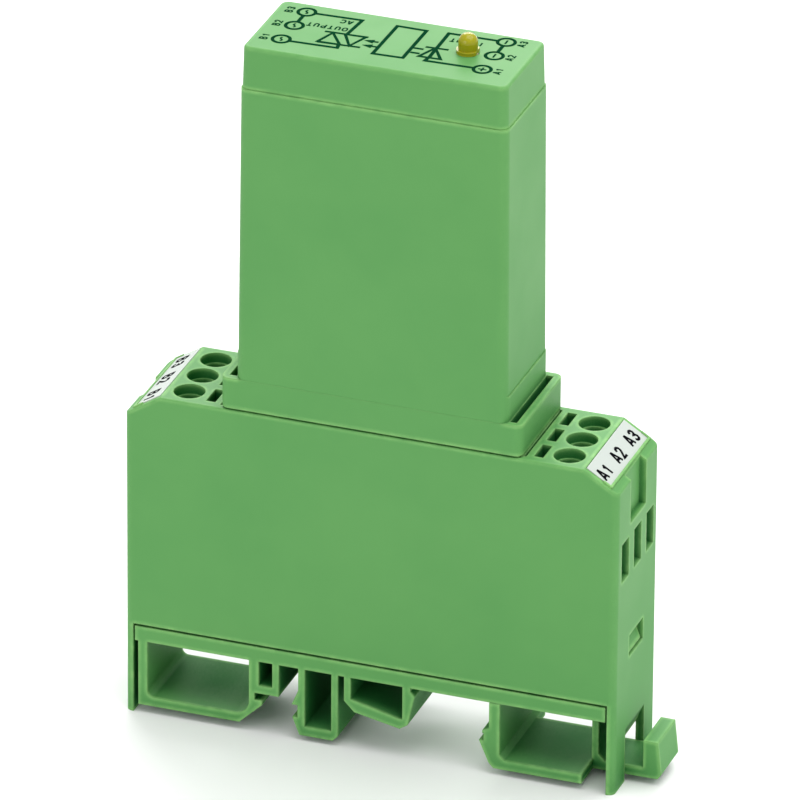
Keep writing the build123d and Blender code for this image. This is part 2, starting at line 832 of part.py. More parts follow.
coupler_inset = 13.0
coupler_x = board_end - coupler_inset
coupler_z = 42.0
coupler_body = (6.4, 7.1)
coupler_height = 3.4
coupler_standoff = 0.4
coupler_row = 7.62
coupler_pitch = 2.54
coupler_pin_y = 1.9

capacitor_inset = 9.0
capacitor_rise = 16.0
capacitor_x = board_end - capacitor_inset
capacitor_z = plate_low[1] + capacitor_rise
capacitor_body = (13.0, 11.0)
capacitor_thickness = 5.2
capacitor_pitch = 10.0

# The varistor keeps its place between the capacitor and the board's other end
varistor_offset = 1.25
varistor_rise = 17.0
varistor_foot_rise = 9.5
varistor_x = (capacitor_x - capacitor_body[0] / 2 - board_end) / 2 - varistor_offset
varistor_z = plate_low[1] + varistor_rise
varistor_radius = 4.7
varistor_thickness = 3.4
varistor_near_y = 1.6
varistor_pitch = 5.0
varistor_foot_z = plate_low[1] + varistor_foot_rise

snubber_inset = 12.0
snubber_x = snubber_inset - board_end
snubber_z = 48.0
snubber_radius = 1.6
snubber_length = 9.0
snubber_pitch = 12.7

input_resistor_inset = 10.0
input_resistor_x = board_end - input_resistor_inset
input_resistor_z = 28.0
input_resistor_radius = 1.2
input_resistor_length = 6.3
input_resistor_pitch = 10.16

diode_inset = 10.0
diode_x = board_end - diode_inset
diode_z = 22.0
diode_radius = 1.3
diode_length = 5.0
diode_pitch = 10.16

transistor_inset = 12.0
transistor_x = transistor_inset - board_end
transistor_z = 26.0
transistor_radius = 2.4
transistor_flat = 1.3
transistor_height = 4.4
transistor_standoff = 1.6
transistor_pitch = 1.27

axial_standoff = 0.3

triac_pins = [(triac_x + step * lead_pitch, triac_foot_z) for step in (-1, 0, 1)]
coupler_pins = [
    (coupler_x + side * coupler_row / 2, coupler_z + step * coupler_pitch)
    for side in ends
    for step in (-1, 0, 1)
]
capacitor_pins = [(capacitor_x + side * capacitor_pitch / 2, capacitor_z) for side in ends]
varistor_pins = [(varistor_x + side * varistor_pitch / 2, varistor_foot_z) for side in ends]
snubber_pins = [(snubber_x + side * snubber_pitch / 2, snubber_z) for side in ends]
input_resistor_pins = [
    (input_resistor_x + side * input_resistor_pitch / 2, input_resistor_z) for side in ends
]
diode_pins = [(diode_x + side * diode_pitch / 2, diode_z) for side in ends]
transistor_pins = [(transistor_x, transistor_z + step * transistor_pitch) for step in (-1, 0, 1)]
fine_pins = transistor_pins
pin_places = (
    triac_pins + coupler_pins + capacitor_pins + varistor_pins
    + snubber_pins + input_resistor_pins + diode_pins
)


def pin_through(x, z, root_y, side=pin_side):
    """A square lead from root_y through the board, ending in a short stub behind it."""
    far_y = (board_half + pin_stub) * (-1 if root_y > 0 else 1)
    span = sorted((root_y, far_y))
    centred_box((x - side / 2, span[0], z - side / 2), (x + side / 2, span[1], z + side / 2))


# Circuit board on edge in the middle of the housing
with BuildPart() as circuit_board:
    with BuildSketch(Plane.XZ):
        with BuildLine():
            Polyline(
                (-board_width / 2, strip_top),
                (-board_width / 2, wing_bottom),
                (-wing_width / 2, wing_bottom),
                (-wing_width / 2, wing_top),
                (-board_width / 2, wing_top),
                (-board_width / 2, board_top),
                (board_width / 2, board_top),
                (board_width / 2, wing_top),
                (wing_width / 2, wing_top),
                (wing_width / 2, wing_bottom),
                (board_width / 2, wing_bottom),
                (board_width / 2, strip_top),
                close=True,
            )
        make_face()
        with Locations(pin_places):
            Circle(pin_hole_radius, mode=Mode.SUBTRACT)
        with Locations(fine_pins):
            Circle(pin_hole_radius * 0.8, mode=Mode.SUBTRACT)
    extrude(amount=board_half, both=True)
circuit_board.part.label = "circuit_board"
export_step(circuit_board.part, "parts/circuit_board.step")

# Output switch with its metal tab, screwed to the heat plate
with BuildPart() as output_triac:
    centred_box(
        (triac_x - triac_width / 2, plate_face_y, triac_body_z),
        (triac_x + triac_width / 2, plate_face_y + triac_thickness, triac_body_z + triac_body_height),
    )
    tab_top = triac_body_z + triac_body_height + triac_tab_height
    centred_box(
        (triac_x - triac_width / 2, plate_face_y, triac_body_z + triac_body_height),
        (triac_x + triac_width / 2, plate_face_y + triac_tab_thickness, tab_top),
    )
    fixing_z = triac_body_z + triac_body_height + triac_hole_height
    with BuildSketch(Plane.XZ.offset(-plate_face_y)):
        with Locations((triac_x, fixing_z)):
            Circle(triac_hole_radius)
    extrude(amount=-triac_tab_thickness, mode=Mode.SUBTRACT)
    leg_y = plate_face_y + triac_thickness / 2
    for x, z in triac_pins:
        centred_box(
            (x - pin_side / 2, leg_y - pin_side / 2, z - pin_side / 2),
            (x + pin_side / 2, leg_y + pin_side / 2, triac_body_z),
        )
        pin_through(x, z, leg_y)
output_triac.part.label = "output_triac"
export_step(output_triac.part, "parts/output_triac.step")

with BuildPart() as heat_plate:
    with BuildSketch(Plane.XZ.offset(-plate_face_y)):
        with Locations(((plate_low[0] + plate_high[0]) / 2, (plate_low[1] + plate_high[1]) / 2)):
            RectangleRounded(plate_high[0] - plate_low[0], plate_high[1] - plate_low[1], hood_corner)
        with Locations((triac_x, fixing_z)):
            Circle(fixing_radius + hole_play, mode=Mode.SUBTRACT)
    extrude(amount=plate_thickness)
heat_plate.part.label = "heat_plate"
export_step(heat_plate.part, "parts/heat_plate.step")

with BuildPart() as plate_screw:
    head_base = plate_face_y + triac_tab_thickness
    with BuildSketch(Plane.XZ.offset(-head_base)):
        with Locations((triac_x, fixing_z)):
            Circle(fixing_radius)
    extrude(amount=triac_tab_thickness + plate_thickness)
    with BuildSketch(Plane.XZ.offset(-head_base)):
        with Locations((triac_x, fixing_z)):
            Circle(fixing_head_radius)
    extrude(amount=-fixing_head_height)
plate_screw.part.label = "plate_screw"
export_step(plate_screw.part, "parts/plate_screw.step")

# Optocoupler, a six-legged block
with BuildPart() as optocoupler:
    coupler_near = -board_half - coupler_standoff
    centred_box(
        (coupler_x - coupler_body[0] / 2, coupler_near - coupler_height, coupler_z - coupler_body[1] / 2),
        (coupler_x + coupler_body[0] / 2, coupler_near, coupler_z + coupler_body[1] / 2),
    )
    for x, z in coupler_pins:
        root = -board_half - coupler_pin_y
        pin_through(x, z, root - pin_side / 2)
        inner = coupler_x + (coupler_body[0] / 2) * (1 if x > coupler_x else -1)
        reach = sorted((inner, x))
        centred_box(
            (reach[0], root - pin_side / 2, z - pin_side / 2),
            (reach[1], root + pin_side / 2, z + pin_side / 2),
        )
optocoupler.part.label = "optocoupler"
export_step(optocoupler.part, "parts/optocoupler.step")

# Film capacitor of the snubber
with BuildPart() as snubber_capacitor:
    centred_box(
        (capacitor_x - capacitor_body[0] / 2, board_half, capacitor_z - capacitor_body[1] / 2),
        (capacitor_x + capacitor_body[0] / 2, board_half + capacitor_thickness,
         capacitor_z + capacitor_body[1] / 2),
    )
    for x, z in capacitor_pins:
        pin_through(x, z, board_half + pin_stub)
snubber_capacitor.part.label = "snubber_capacitor"
export_step(snubber_capacitor.part, "parts/snubber_capacitor.step")

# Disc varistor lying along the board on bent leads
with BuildPart() as varistor:
    with BuildSketch(Plane.XZ.offset(-varistor_near_y)):
        with Locations((varistor_x, varistor_z)):
            Circle(varistor_radius)
    extrude(amount=-varistor_thickness)
    lead_y = varistor_near_y + varistor_thickness / 2
    for x, z in varistor_pins:
        centred_box(
            (x - pin_side / 2, lead_y - pin_side / 2, z - pin_side / 2),
            (x + pin_side / 2, lead_y + pin_side / 2, varistor_z),
        )
        pin_through(x, z, lead_y)
varistor.part.label = "varistor"
export_step(varistor.part, "parts/varistor.step")


# Axial parts: a round body between two bent leads
axial_parts = [
    ("snubber_resistor", snubber_x, snubber_z, snubber_radius, snubber_length, snubber_pins, 1),
    ("input_resistor", input_resistor_x, input_resistor_z, input_resistor_radius,
     input_resistor_length, input_resistor_pins, -1),
    ("input_diode", diode_x, diode_z, diode_radius, diode_length, diode_pins, -1),
]
for name, x_centre, z_centre, radius, length, pins, side in axial_parts:
    axis_y = side * (board_half + axial_standoff + radius)
    with BuildPart() as axial:
        with BuildSketch(Plane.YZ.offset(x_centre - length / 2)):
            with Locations((axis_y, z_centre)):
                Circle(radius)
        extrude(amount=length)
        for x, z in pins:
            pin_through(x, z, axis_y + side * pin_side / 2)
            reach = sorted((x, x_centre))
            centred_box(
                (reach[0], axis_y - pin_side / 2, z - pin_side / 2),
                (reach[1], axis_y + pin_side / 2, z + pin_side / 2),
            )
    axial.part.label = name
    export_step(axial.part, f"parts/{name}.step")

# Small input transistor with a flat side
fine_side = 0.45
with BuildPart() as input_transistor:
    body_near = -board_half - transistor_standoff
    with BuildSketch(Plane.XZ.offset(-body_near)):
        with Locations((transistor_x, transistor_z)):
            Circle(transistor_radius)
        with Locations((transistor_x - transistor_flat - transistor_radius / 2, transistor_z)):
            Rectangle(transistor_radius, 2 * transistor_radius, mode=Mode.SUBTRACT)
    extrude(amount=transistor_height)
    for x, z in transistor_pins:
        pin_through(x, z, body_near, fine_side)
input_transistor.part.label = "input_transistor"
export_step(input_transistor.part, "parts/input_transistor.step")
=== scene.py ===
# Slim solid-state relay in a green moulded housing: finishes, prints, screws, light and camera
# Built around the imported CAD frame, in metres, origin midway between the foot's two hooks

import json
import math
import itertools
import random

import bpy
import bmesh
from mathutils import Matrix, Vector


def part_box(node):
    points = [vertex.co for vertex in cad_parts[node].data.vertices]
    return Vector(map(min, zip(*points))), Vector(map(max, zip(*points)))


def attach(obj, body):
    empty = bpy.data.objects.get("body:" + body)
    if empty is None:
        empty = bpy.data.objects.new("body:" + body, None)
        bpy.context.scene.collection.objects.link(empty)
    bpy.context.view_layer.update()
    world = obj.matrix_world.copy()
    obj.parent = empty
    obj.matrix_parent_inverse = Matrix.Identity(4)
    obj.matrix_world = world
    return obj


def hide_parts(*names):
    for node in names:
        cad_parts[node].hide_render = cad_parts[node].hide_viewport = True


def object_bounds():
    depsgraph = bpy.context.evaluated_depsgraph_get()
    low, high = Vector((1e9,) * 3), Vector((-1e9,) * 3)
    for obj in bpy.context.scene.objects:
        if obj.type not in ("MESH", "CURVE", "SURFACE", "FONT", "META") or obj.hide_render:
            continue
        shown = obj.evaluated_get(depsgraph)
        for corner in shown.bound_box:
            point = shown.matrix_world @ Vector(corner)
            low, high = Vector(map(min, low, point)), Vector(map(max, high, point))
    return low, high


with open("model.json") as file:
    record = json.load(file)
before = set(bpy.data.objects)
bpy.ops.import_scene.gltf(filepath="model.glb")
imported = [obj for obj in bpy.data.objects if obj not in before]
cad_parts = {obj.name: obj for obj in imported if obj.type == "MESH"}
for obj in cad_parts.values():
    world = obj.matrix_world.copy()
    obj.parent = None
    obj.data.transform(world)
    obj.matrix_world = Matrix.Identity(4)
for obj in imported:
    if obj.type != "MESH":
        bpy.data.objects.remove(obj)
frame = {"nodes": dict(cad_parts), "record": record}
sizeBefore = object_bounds()
record = frame["record"]
scene = bpy.context.scene
random.seed(418)
mm = 0.001
mitreLimit = 0.5

terminals = [end + str(number) for end in "ab" for number in (1, 2, 3)]


# Node and mesh helpers

def addNode(tree, kind, place, inputs=None, **settings):
    made = tree.nodes.new(kind)
    made.location = place
    for key, value in settings.items():
        setattr(made, key, value)
    for key, value in (inputs or {}).items():
        if isinstance(value, bpy.types.NodeSocket):
            tree.links.new(value, made.inputs[key])
        else:
            made.inputs[key].default_value = value
    return made


def newGroup(name, kind, ins, outs):
    tree = bpy.data.node_groups.new(name, kind)
    for label, socketType, value in ins:
        made = tree.interface.new_socket(label, in_out="INPUT", socket_type=socketType)
        if value is not None:
            made.default_value = value
    for label, socketType in outs:
        tree.interface.new_socket(label, in_out="OUTPUT", socket_type=socketType)
    start = tree.nodes.new("NodeGroupInput")
    start.location = (-1100, 0)
    end = tree.nodes.new("NodeGroupOutput")
    end.location = (900, 0)
    return tree, start, end


def remap(tree, value, low, high, toLow, toHigh, place):
    made = addNode(tree, "ShaderNodeMapRange", place, {
        "Value": value, "From Min": low, "From Max": high, "To Min": toLow, "To Max": toHigh})
    return made.outputs["Result"]


def mathOf(tree, operation, first, second, place, clamp=False):
    made = addNode(tree, "ShaderNodeMath", place, {0: first, 1: second}, operation=operation)
    made.use_clamp = clamp
    return made.outputs[0]


def mixColor(tree, factor, first, second, place):
    made = addNode(tree, "ShaderNodeMix", place, data_type="RGBA")
    for index, value in ((0, factor), (6, first), (7, second)):
        if isinstance(value, bpy.types.NodeSocket):
            tree.links.new(value, made.inputs[index])
        else:
            made.inputs[index].default_value = value
    return made.outputs[2]


def meshObject(name, mesh):
    made = bpy.data.objects.new(name, mesh)
    scene.collection.objects.link(made)
    return made


def fromBmesh(name, bm):
    bmesh.ops.recalc_face_normals(bm, faces=bm.faces)
    mesh = bpy.data.meshes.new(name)
    bm.to_mesh(mesh)
    bm.free()
    return meshObject(name, mesh)


def plainCopy(maker, name):
    # the modified shape as a plain mesh, and the maker goes
    bpy.context.view_layer.update()
    graph = bpy.context.evaluated_depsgraph_get()
    mesh = bpy.data.meshes.new_from_object(maker.evaluated_get(graph), depsgraph=graph)
    mesh.name = name
    bpy.data.objects.remove(maker)
    return meshObject(name, mesh)


def ribbon(bm, path, width, low, high, closed=False):
    # one mitred strip along (x, y) points, as a closed solid, its sharpest corners cut short
    points = [Vector((x, y)) for x, y in path]
    count = len(points)
    rows = []
    for index, point in enumerate(points):
        runs = []
        if index > 0 or closed:
            runs.append((point - points[index - 1]).normalized())
        if index < count - 1 or closed:
            runs.append((points[(index + 1) % count] - point).normalized())
        along = sum(runs, Vector((0, 0))).normalized()
        side = Vector((-along.y, along.x))
        reach = width / 2 / max(mitreLimit, side.dot(Vector((-runs[0].y, runs[0].x))))
        left, right = point + side * reach, point - side * reach
        rows.append([bm.verts.new((p.x * mm, p.y * mm, z * mm))
                     for p, z in ((left, low), (right, low), (right, high), (left, high))])
    for index in range(count if closed else count - 1):
        near, far = rows[index], rows[(index + 1) % count]
        for k in range(4):
            bm.faces.new((near[k], near[(k + 1) % 4], far[(k + 1) % 4], far[k]))
    if not closed:
        bm.faces.new(rows[0][::-1])
        bm.faces.new(rows[-1])


def slab(bm, outline, low, high):
    # a flat outline raised from low to high
    under = [bm.verts.new((x * mm, y * mm, low * mm)) for x, y in outline]
    over = [bm.verts.new((x * mm, y * mm, high * mm)) for x, y in outline]
    count = len(outline)
    for k in range(count):
        bm.faces.new((under[k], under[(k + 1) % count], over[(k + 1) % count], over[k]))
    bm.faces.new(over)
    bm.faces.new(under[::-1])


def turned(bm, profile, segments):
    # a profile of (radius, z) spun about the z axis, closed at both ends
    turns = [2 * math.pi * k / segments for k in range(segments)]
    rings = []
    for radius, z in profile:
        if radius == 0:
            rings.append([bm.verts.new((0, 0, z * mm))])
        else:
            rings.append([bm.verts.new((radius * math.cos(t) * mm, radius * math.sin(t) * mm, z * mm))
                          for t in turns])
    for low, high in zip(rings, rings[1:]):
        for k in range(segments):
            near = (k + 1) % segments
            if len(low) == 1:
                bm.faces.new((low[0], high[near], high[k]))
            elif len(high) == 1:
                bm.faces.new((low[k], low[near], high[0]))
            else:
                bm.faces.new((low[k], low[near], high[near], high[k]))


# Surface groups

surfaceOutputs = [("Color", "NodeSocketColor"), ("Roughness", "NodeSocketFloat"),
                  ("Normal", "NodeSocketVector")]


def finishSurface(tree, end, color, rough, bump):
    tree.links.new(color, end.inputs["Color"])
    tree.links.new(rough, end.inputs["Roughness"])
    tree.links.new(bump.outputs["Normal"], end.inputs["Normal"])
    return tree


def makeMouldedSurface():
    # blotchy plastic with a fine grain, with a painted highlight along its rounded edges and painted shade
    # deep in its hollows
    shelterReach = 13 * mm
    tree, start, end = newGroup("mouldedSurface", "ShaderNodeTree", [
        ("Plastic", "NodeSocketColor", (0.1, 0.4, 0.1, 1)),
        ("Deep", "NodeSocketColor", (0.08, 0.33, 0.08, 1)),
        ("Edge Tint", "NodeSocketColor", (0.3, 0.6, 0.3, 1)),
        ("Painted Shade Tint", "NodeSocketColor", (0.02, 0.1, 0.02, 1)),
        ("Painted Highlight Strength", "NodeSocketFloat", 0.6),
        ("Grain Scale", "NodeSocketFloat", 3000),
        ("Grain Depth", "NodeSocketFloat", 0.2),
        ("Edge Width", "NodeSocketFloat", 0.3 * mm),
        ("Rough", "NodeSocketFloat", 0.45),
    ], surfaceOutputs)
    spots = addNode(tree, "ShaderNodeTexCoord", (-1100, -300)).outputs["Object"]
    blotch = addNode(tree, "ShaderNodeTexNoise", (-800, 200), {
        "Vector": spots, "Scale": 45, "Detail": 3, "Roughness": 0.6})
    grain = addNode(tree, "ShaderNodeTexNoise", (-800, -100), {
        "Vector": spots, "Scale": start.outputs["Grain Scale"], "Detail": 2, "Roughness": 0.7})
    streak = addNode(tree, "ShaderNodeTexNoise", (-800, -400), {
        "Vector": spots, "Scale": 420, "Detail": 4, "Distortion": 0.6})
    roundEdge = addNode(tree, "ShaderNodeBevel", (-800, -700), {
        "Radius": start.outputs["Edge Width"]}, samples=4)
    reach = mathOf(tree, "MULTIPLY", start.outputs["Edge Width"], 2, (-1000, -900))
    thick = addNode(tree, "ShaderNodeAmbientOcclusion", (-800, -900), {"Distance": reach},
                    samples=4, inside=True, only_local=True)  # looks into the plastic, thin at an edge
    # painted highlight: the edge tint is mixed in where the plastic is thin at an edge, broken up by a
    # streaky noise
    edge = remap(tree, thick.outputs["AO"], 0.88, 0.62, 0, 1, (-360, -800))
    highlightBreakup = remap(tree, streak.outputs["Fac"], 0.35, 0.65, 0.45, 1, (-560, -500))
    mask = mathOf(tree, "MULTIPLY", edge, highlightBreakup, (-160, -700), True)
    paintedHighlight = mathOf(tree, "MULTIPLY", mask, start.outputs["Painted Highlight Strength"], (20, -600), True)
    # painted shade: the recess tint is mixed in where nearby surfaces close over a point, as shade falls in
    # hollows
    shelter = addNode(tree, "ShaderNodeAmbientOcclusion", (-800, 500), {"Distance": shelterReach}, samples=4)
    paintedShadeMask = remap(tree, shelter.outputs["AO"], 0.24, 0.57, 0.92, 0, (-560, 500))
    # a random blotchy tone in the plastic itself
    mottle = remap(tree, blotch.outputs["Fac"], 0.35, 0.68, 0, 1, (-560, 200))
    body = mixColor(tree, mottle, start.outputs["Plastic"], start.outputs["Deep"], (-300, 300))
    paintedShadeColor = mixColor(tree, paintedShadeMask, body, start.outputs["Painted Shade Tint"], (-100, 400))
    color = mixColor(tree, paintedHighlight, paintedShadeColor, start.outputs["Edge Tint"], (200, 300))
    uneven = remap(tree, blotch.outputs["Fac"], 0.3, 0.7, -0.05, 0.06, (-300, 0))
    matt = mathOf(tree, "MULTIPLY", paintedShadeMask, 0.45, (-300, 100))
    change = mathOf(tree, "ADD", uneven, matt, (-120, 50))
    rough = mathOf(tree, "ADD", start.outputs["Rough"], change, (60, 0), True)
    bump = addNode(tree, "ShaderNodeBump", (300, -300), {
        "Strength": start.outputs["Grain Depth"], "Distance": 0.02 * mm,
        "Height": grain.outputs["Fac"], "Normal": roundEdge.outputs["Normal"]})
    return finishSurface(tree, end, color, rough, bump)


def makePlatedSurface():
    # drawn or plated metal with fine lines, dull patches and bright edges
    tree, start, end = newGroup("platedSurface", "ShaderNodeTree", [
        ("Metal", "NodeSocketColor", (0.6, 0.6, 0.6, 1)),
        ("Dull", "NodeSocketColor", (0.4, 0.4, 0.4, 1)),
        ("Line Stretch", "NodeSocketVector", (300, 6000, 6000)),
        ("Rough", "NodeSocketFloat", 0.3),
    ], surfaceOutputs)
    spots = addNode(tree, "ShaderNodeTexCoord", (-1100, -300)).outputs["Object"]
    spread = addNode(tree, "ShaderNodeMapping", (-900, -100), {
        "Vector": spots, "Scale": start.outputs["Line Stretch"]})
    lines = addNode(tree, "ShaderNodeTexNoise", (-700, -100), {
        "Vector": spread.outputs["Vector"], "Scale": 1, "Detail": 3})
    patches = addNode(tree, "ShaderNodeTexNoise", (-700, 200), {"Vector": spots, "Scale": 500, "Detail": 5})
    roundEdge = addNode(tree, "ShaderNodeBevel", (-700, -500), {"Radius": 0.08 * mm}, samples=4)
    flat = addNode(tree, "ShaderNodeNewGeometry", (-700, -700))
    facing = addNode(tree, "ShaderNodeVectorMath", (-460, -600), {
        0: roundEdge.outputs["Normal"], 1: flat.outputs["Normal"]}, operation="DOT_PRODUCT")
    edge = remap(tree, facing.outputs["Value"], 0.99, 0.8, 0, 0.7, (-260, -600))
    dullness = remap(tree, patches.outputs["Fac"], 0.42, 0.7, 0, 0.8, (-460, 200))
    body = mixColor(tree, dullness, start.outputs["Metal"], start.outputs["Dull"], (-200, 300))
    color = mixColor(tree, edge, body, start.outputs["Metal"], (100, 300))
    change = remap(tree, patches.outputs["Fac"], 0.3, 0.7, -0.06, 0.14, (-200, 0))
    rough = mathOf(tree, "ADD", start.outputs["Rough"], change, (100, 0))
    bump = addNode(tree, "ShaderNodeBump", (300, -300), {
        "Strength": 0.15, "Distance": 0.01 * mm, "Height": lines.outputs["Fac"],
        "Normal": roundEdge.outputs["Normal"]})
    return finishSurface(tree, end, color, rough, bump)


def makePrintedInk():
    # thin pad print that lets a little of the plastic through
    tree, start, end = newGroup("printedInk", "ShaderNodeTree", [
        ("Ink", "NodeSocketColor", (0.01, 0.05, 0.02, 1)),
        ("Under", "NodeSocketColor", (0.2, 0.5, 0.2, 1)),
        ("Thinning", "NodeSocketFloat", 0.3),
    ], surfaceOutputs)
    spots = addNode(tree, "ShaderNodeTexCoord", (-1100, -300)).outputs["Object"]
    specks = addNode(tree, "ShaderNodeTexNoise", (-800, 100), {
        "Vector": spots, "Scale": 3200, "Detail": 4, "Roughness": 0.7})
    patches = addNode(tree, "ShaderNodeTexNoise", (-800, -200), {"Vector": spots, "Scale": 260, "Detail": 2})
    holes = remap(tree, specks.outputs["Fac"], 0.56, 0.74, 0, 1, (-560, 100))
    thin = remap(tree, patches.outputs["Fac"], 0.4, 0.65, 0, 1, (-560, -200))
    gaps = mathOf(tree, "MULTIPLY", holes, thin, (-320, 0))
    share = mathOf(tree, "MULTIPLY", gaps, start.outputs["Thinning"], (-120, 0), True)
    color = mixColor(tree, share, start.outputs["Ink"], start.outputs["Under"], (200, 200))
    rough = remap(tree, patches.outputs["Fac"], 0.3, 0.7, 0.42, 0.6, (-120, -300))
    bump = addNode(tree, "ShaderNodeBump", (300, -300), {
        "Strength": 0.2, "Distance": 0.01 * mm, "Height": specks.outputs["Fac"]})
    return finishSurface(tree, end, color, rough, bump)


def makeBoardWeave():
    # glass cloth under a green mask, with paler tracks
    tree, start, end = newGroup("boardWeave", "ShaderNodeTree", [
        ("Mask", "NodeSocketColor", (0.05, 0.2, 0.08, 1)),
        ("Track", "NodeSocketColor", (0.1, 0.3, 0.1, 1)),
        ("Rough", "NodeSocketFloat", 0.35),
    ], surfaceOutputs)
    spots = addNode(tree, "ShaderNodeTexCoord", (-1300, -300)).outputs["Object"]
    lay = addNode(tree, "ShaderNodeMapping", (-1080, 200), {"Vector": spots, "Rotation": (math.pi / 2, 0, 0)})
    tracks = addNode(tree, "ShaderNodeTexBrick", (-820, 250), {
        "Vector": lay.outputs["Vector"], "Scale": 90, "Mortar Size": 0.05, "Mortar Smooth": 0.05,
        "Brick Width": 0.9, "Row Height": 0.34, "Color1": (0, 0, 0, 1), "Color2": (0, 0, 0, 1),
        "Mortar": (1, 1, 1, 1)})
    warp = addNode(tree, "ShaderNodeTexWave", (-820, -150), {"Vector": spots, "Scale": 500},
                   wave_type="BANDS", bands_direction="X")
    weft = addNode(tree, "ShaderNodeTexWave", (-820, -450), {"Vector": spots, "Scale": 500},
                   wave_type="BANDS", bands_direction="Z")
    stain = addNode(tree, "ShaderNodeTexNoise", (-820, 550), {"Vector": spots, "Scale": 70, "Detail": 4})
    cloth = mathOf(tree, "ADD", warp.outputs["Fac"], weft.outputs["Fac"], (-560, -300))
    copper = tracks.outputs["Color"]
    faint = mathOf(tree, "MULTIPLY", cloth, 0.2, (-380, -300))
    lift = mathOf(tree, "ADD", faint, copper, (-200, -300))
    color = mixColor(tree, copper, start.outputs["Mask"], start.outputs["Track"], (-200, 300))
    # a random darker stain in the laminate
    tone = remap(tree, stain.outputs["Fac"], 0.3, 0.7, 0, 0.35, (-500, 550))
    stained = mixColor(tree, tone, color, (0.01, 0.05, 0.02, 1), (100, 300))
    change = remap(tree, stain.outputs["Fac"], 0.3, 0.7, -0.05, 0.1, (-200, 50))
    rough = mathOf(tree, "ADD", start.outputs["Rough"], change, (100, 50))
    bump = addNode(tree, "ShaderNodeBump", (300, -300), {
        "Strength": 0.3, "Distance": 0.03 * mm, "Height": lift})
    return finishSurface(tree, end, stained, rough, bump)


surfaceGroups = {
    "moulded": makeMouldedSurface(),
    "plated": makePlatedSurface(),
    "ink": makePrintedInk(),
    "board": makeBoardWeave(),
}
print("surface groups made")


# Materials, one for each slot, for the two prints and for the solder

def makeMaterial(name, group, values, shader=None):
    made = bpy.data.materials.new(name)
    made.use_nodes = True
    tree = made.node_tree
    principled = tree.nodes["Principled BSDF"]
    surface = tree.nodes.new("ShaderNodeGroup")
    surface.node_tree = surfaceGroups[group]
    surface.location = (-320, 200)
    for key, value in values.items():
        surface.inputs[key].default_value = value
    tree.links.new(surface.outputs["Color"], principled.inputs["Base Color"])
    tree.links.new(surface.outputs["Roughness"], principled.inputs["Roughness"])
    tree.links.new(surface.outputs["Normal"], principled.inputs["Normal"])
    for key, value in (shader or {}).items():
        principled.inputs[key].default_value = value
    made.diffuse_color = list(values.values())[0]
    return made


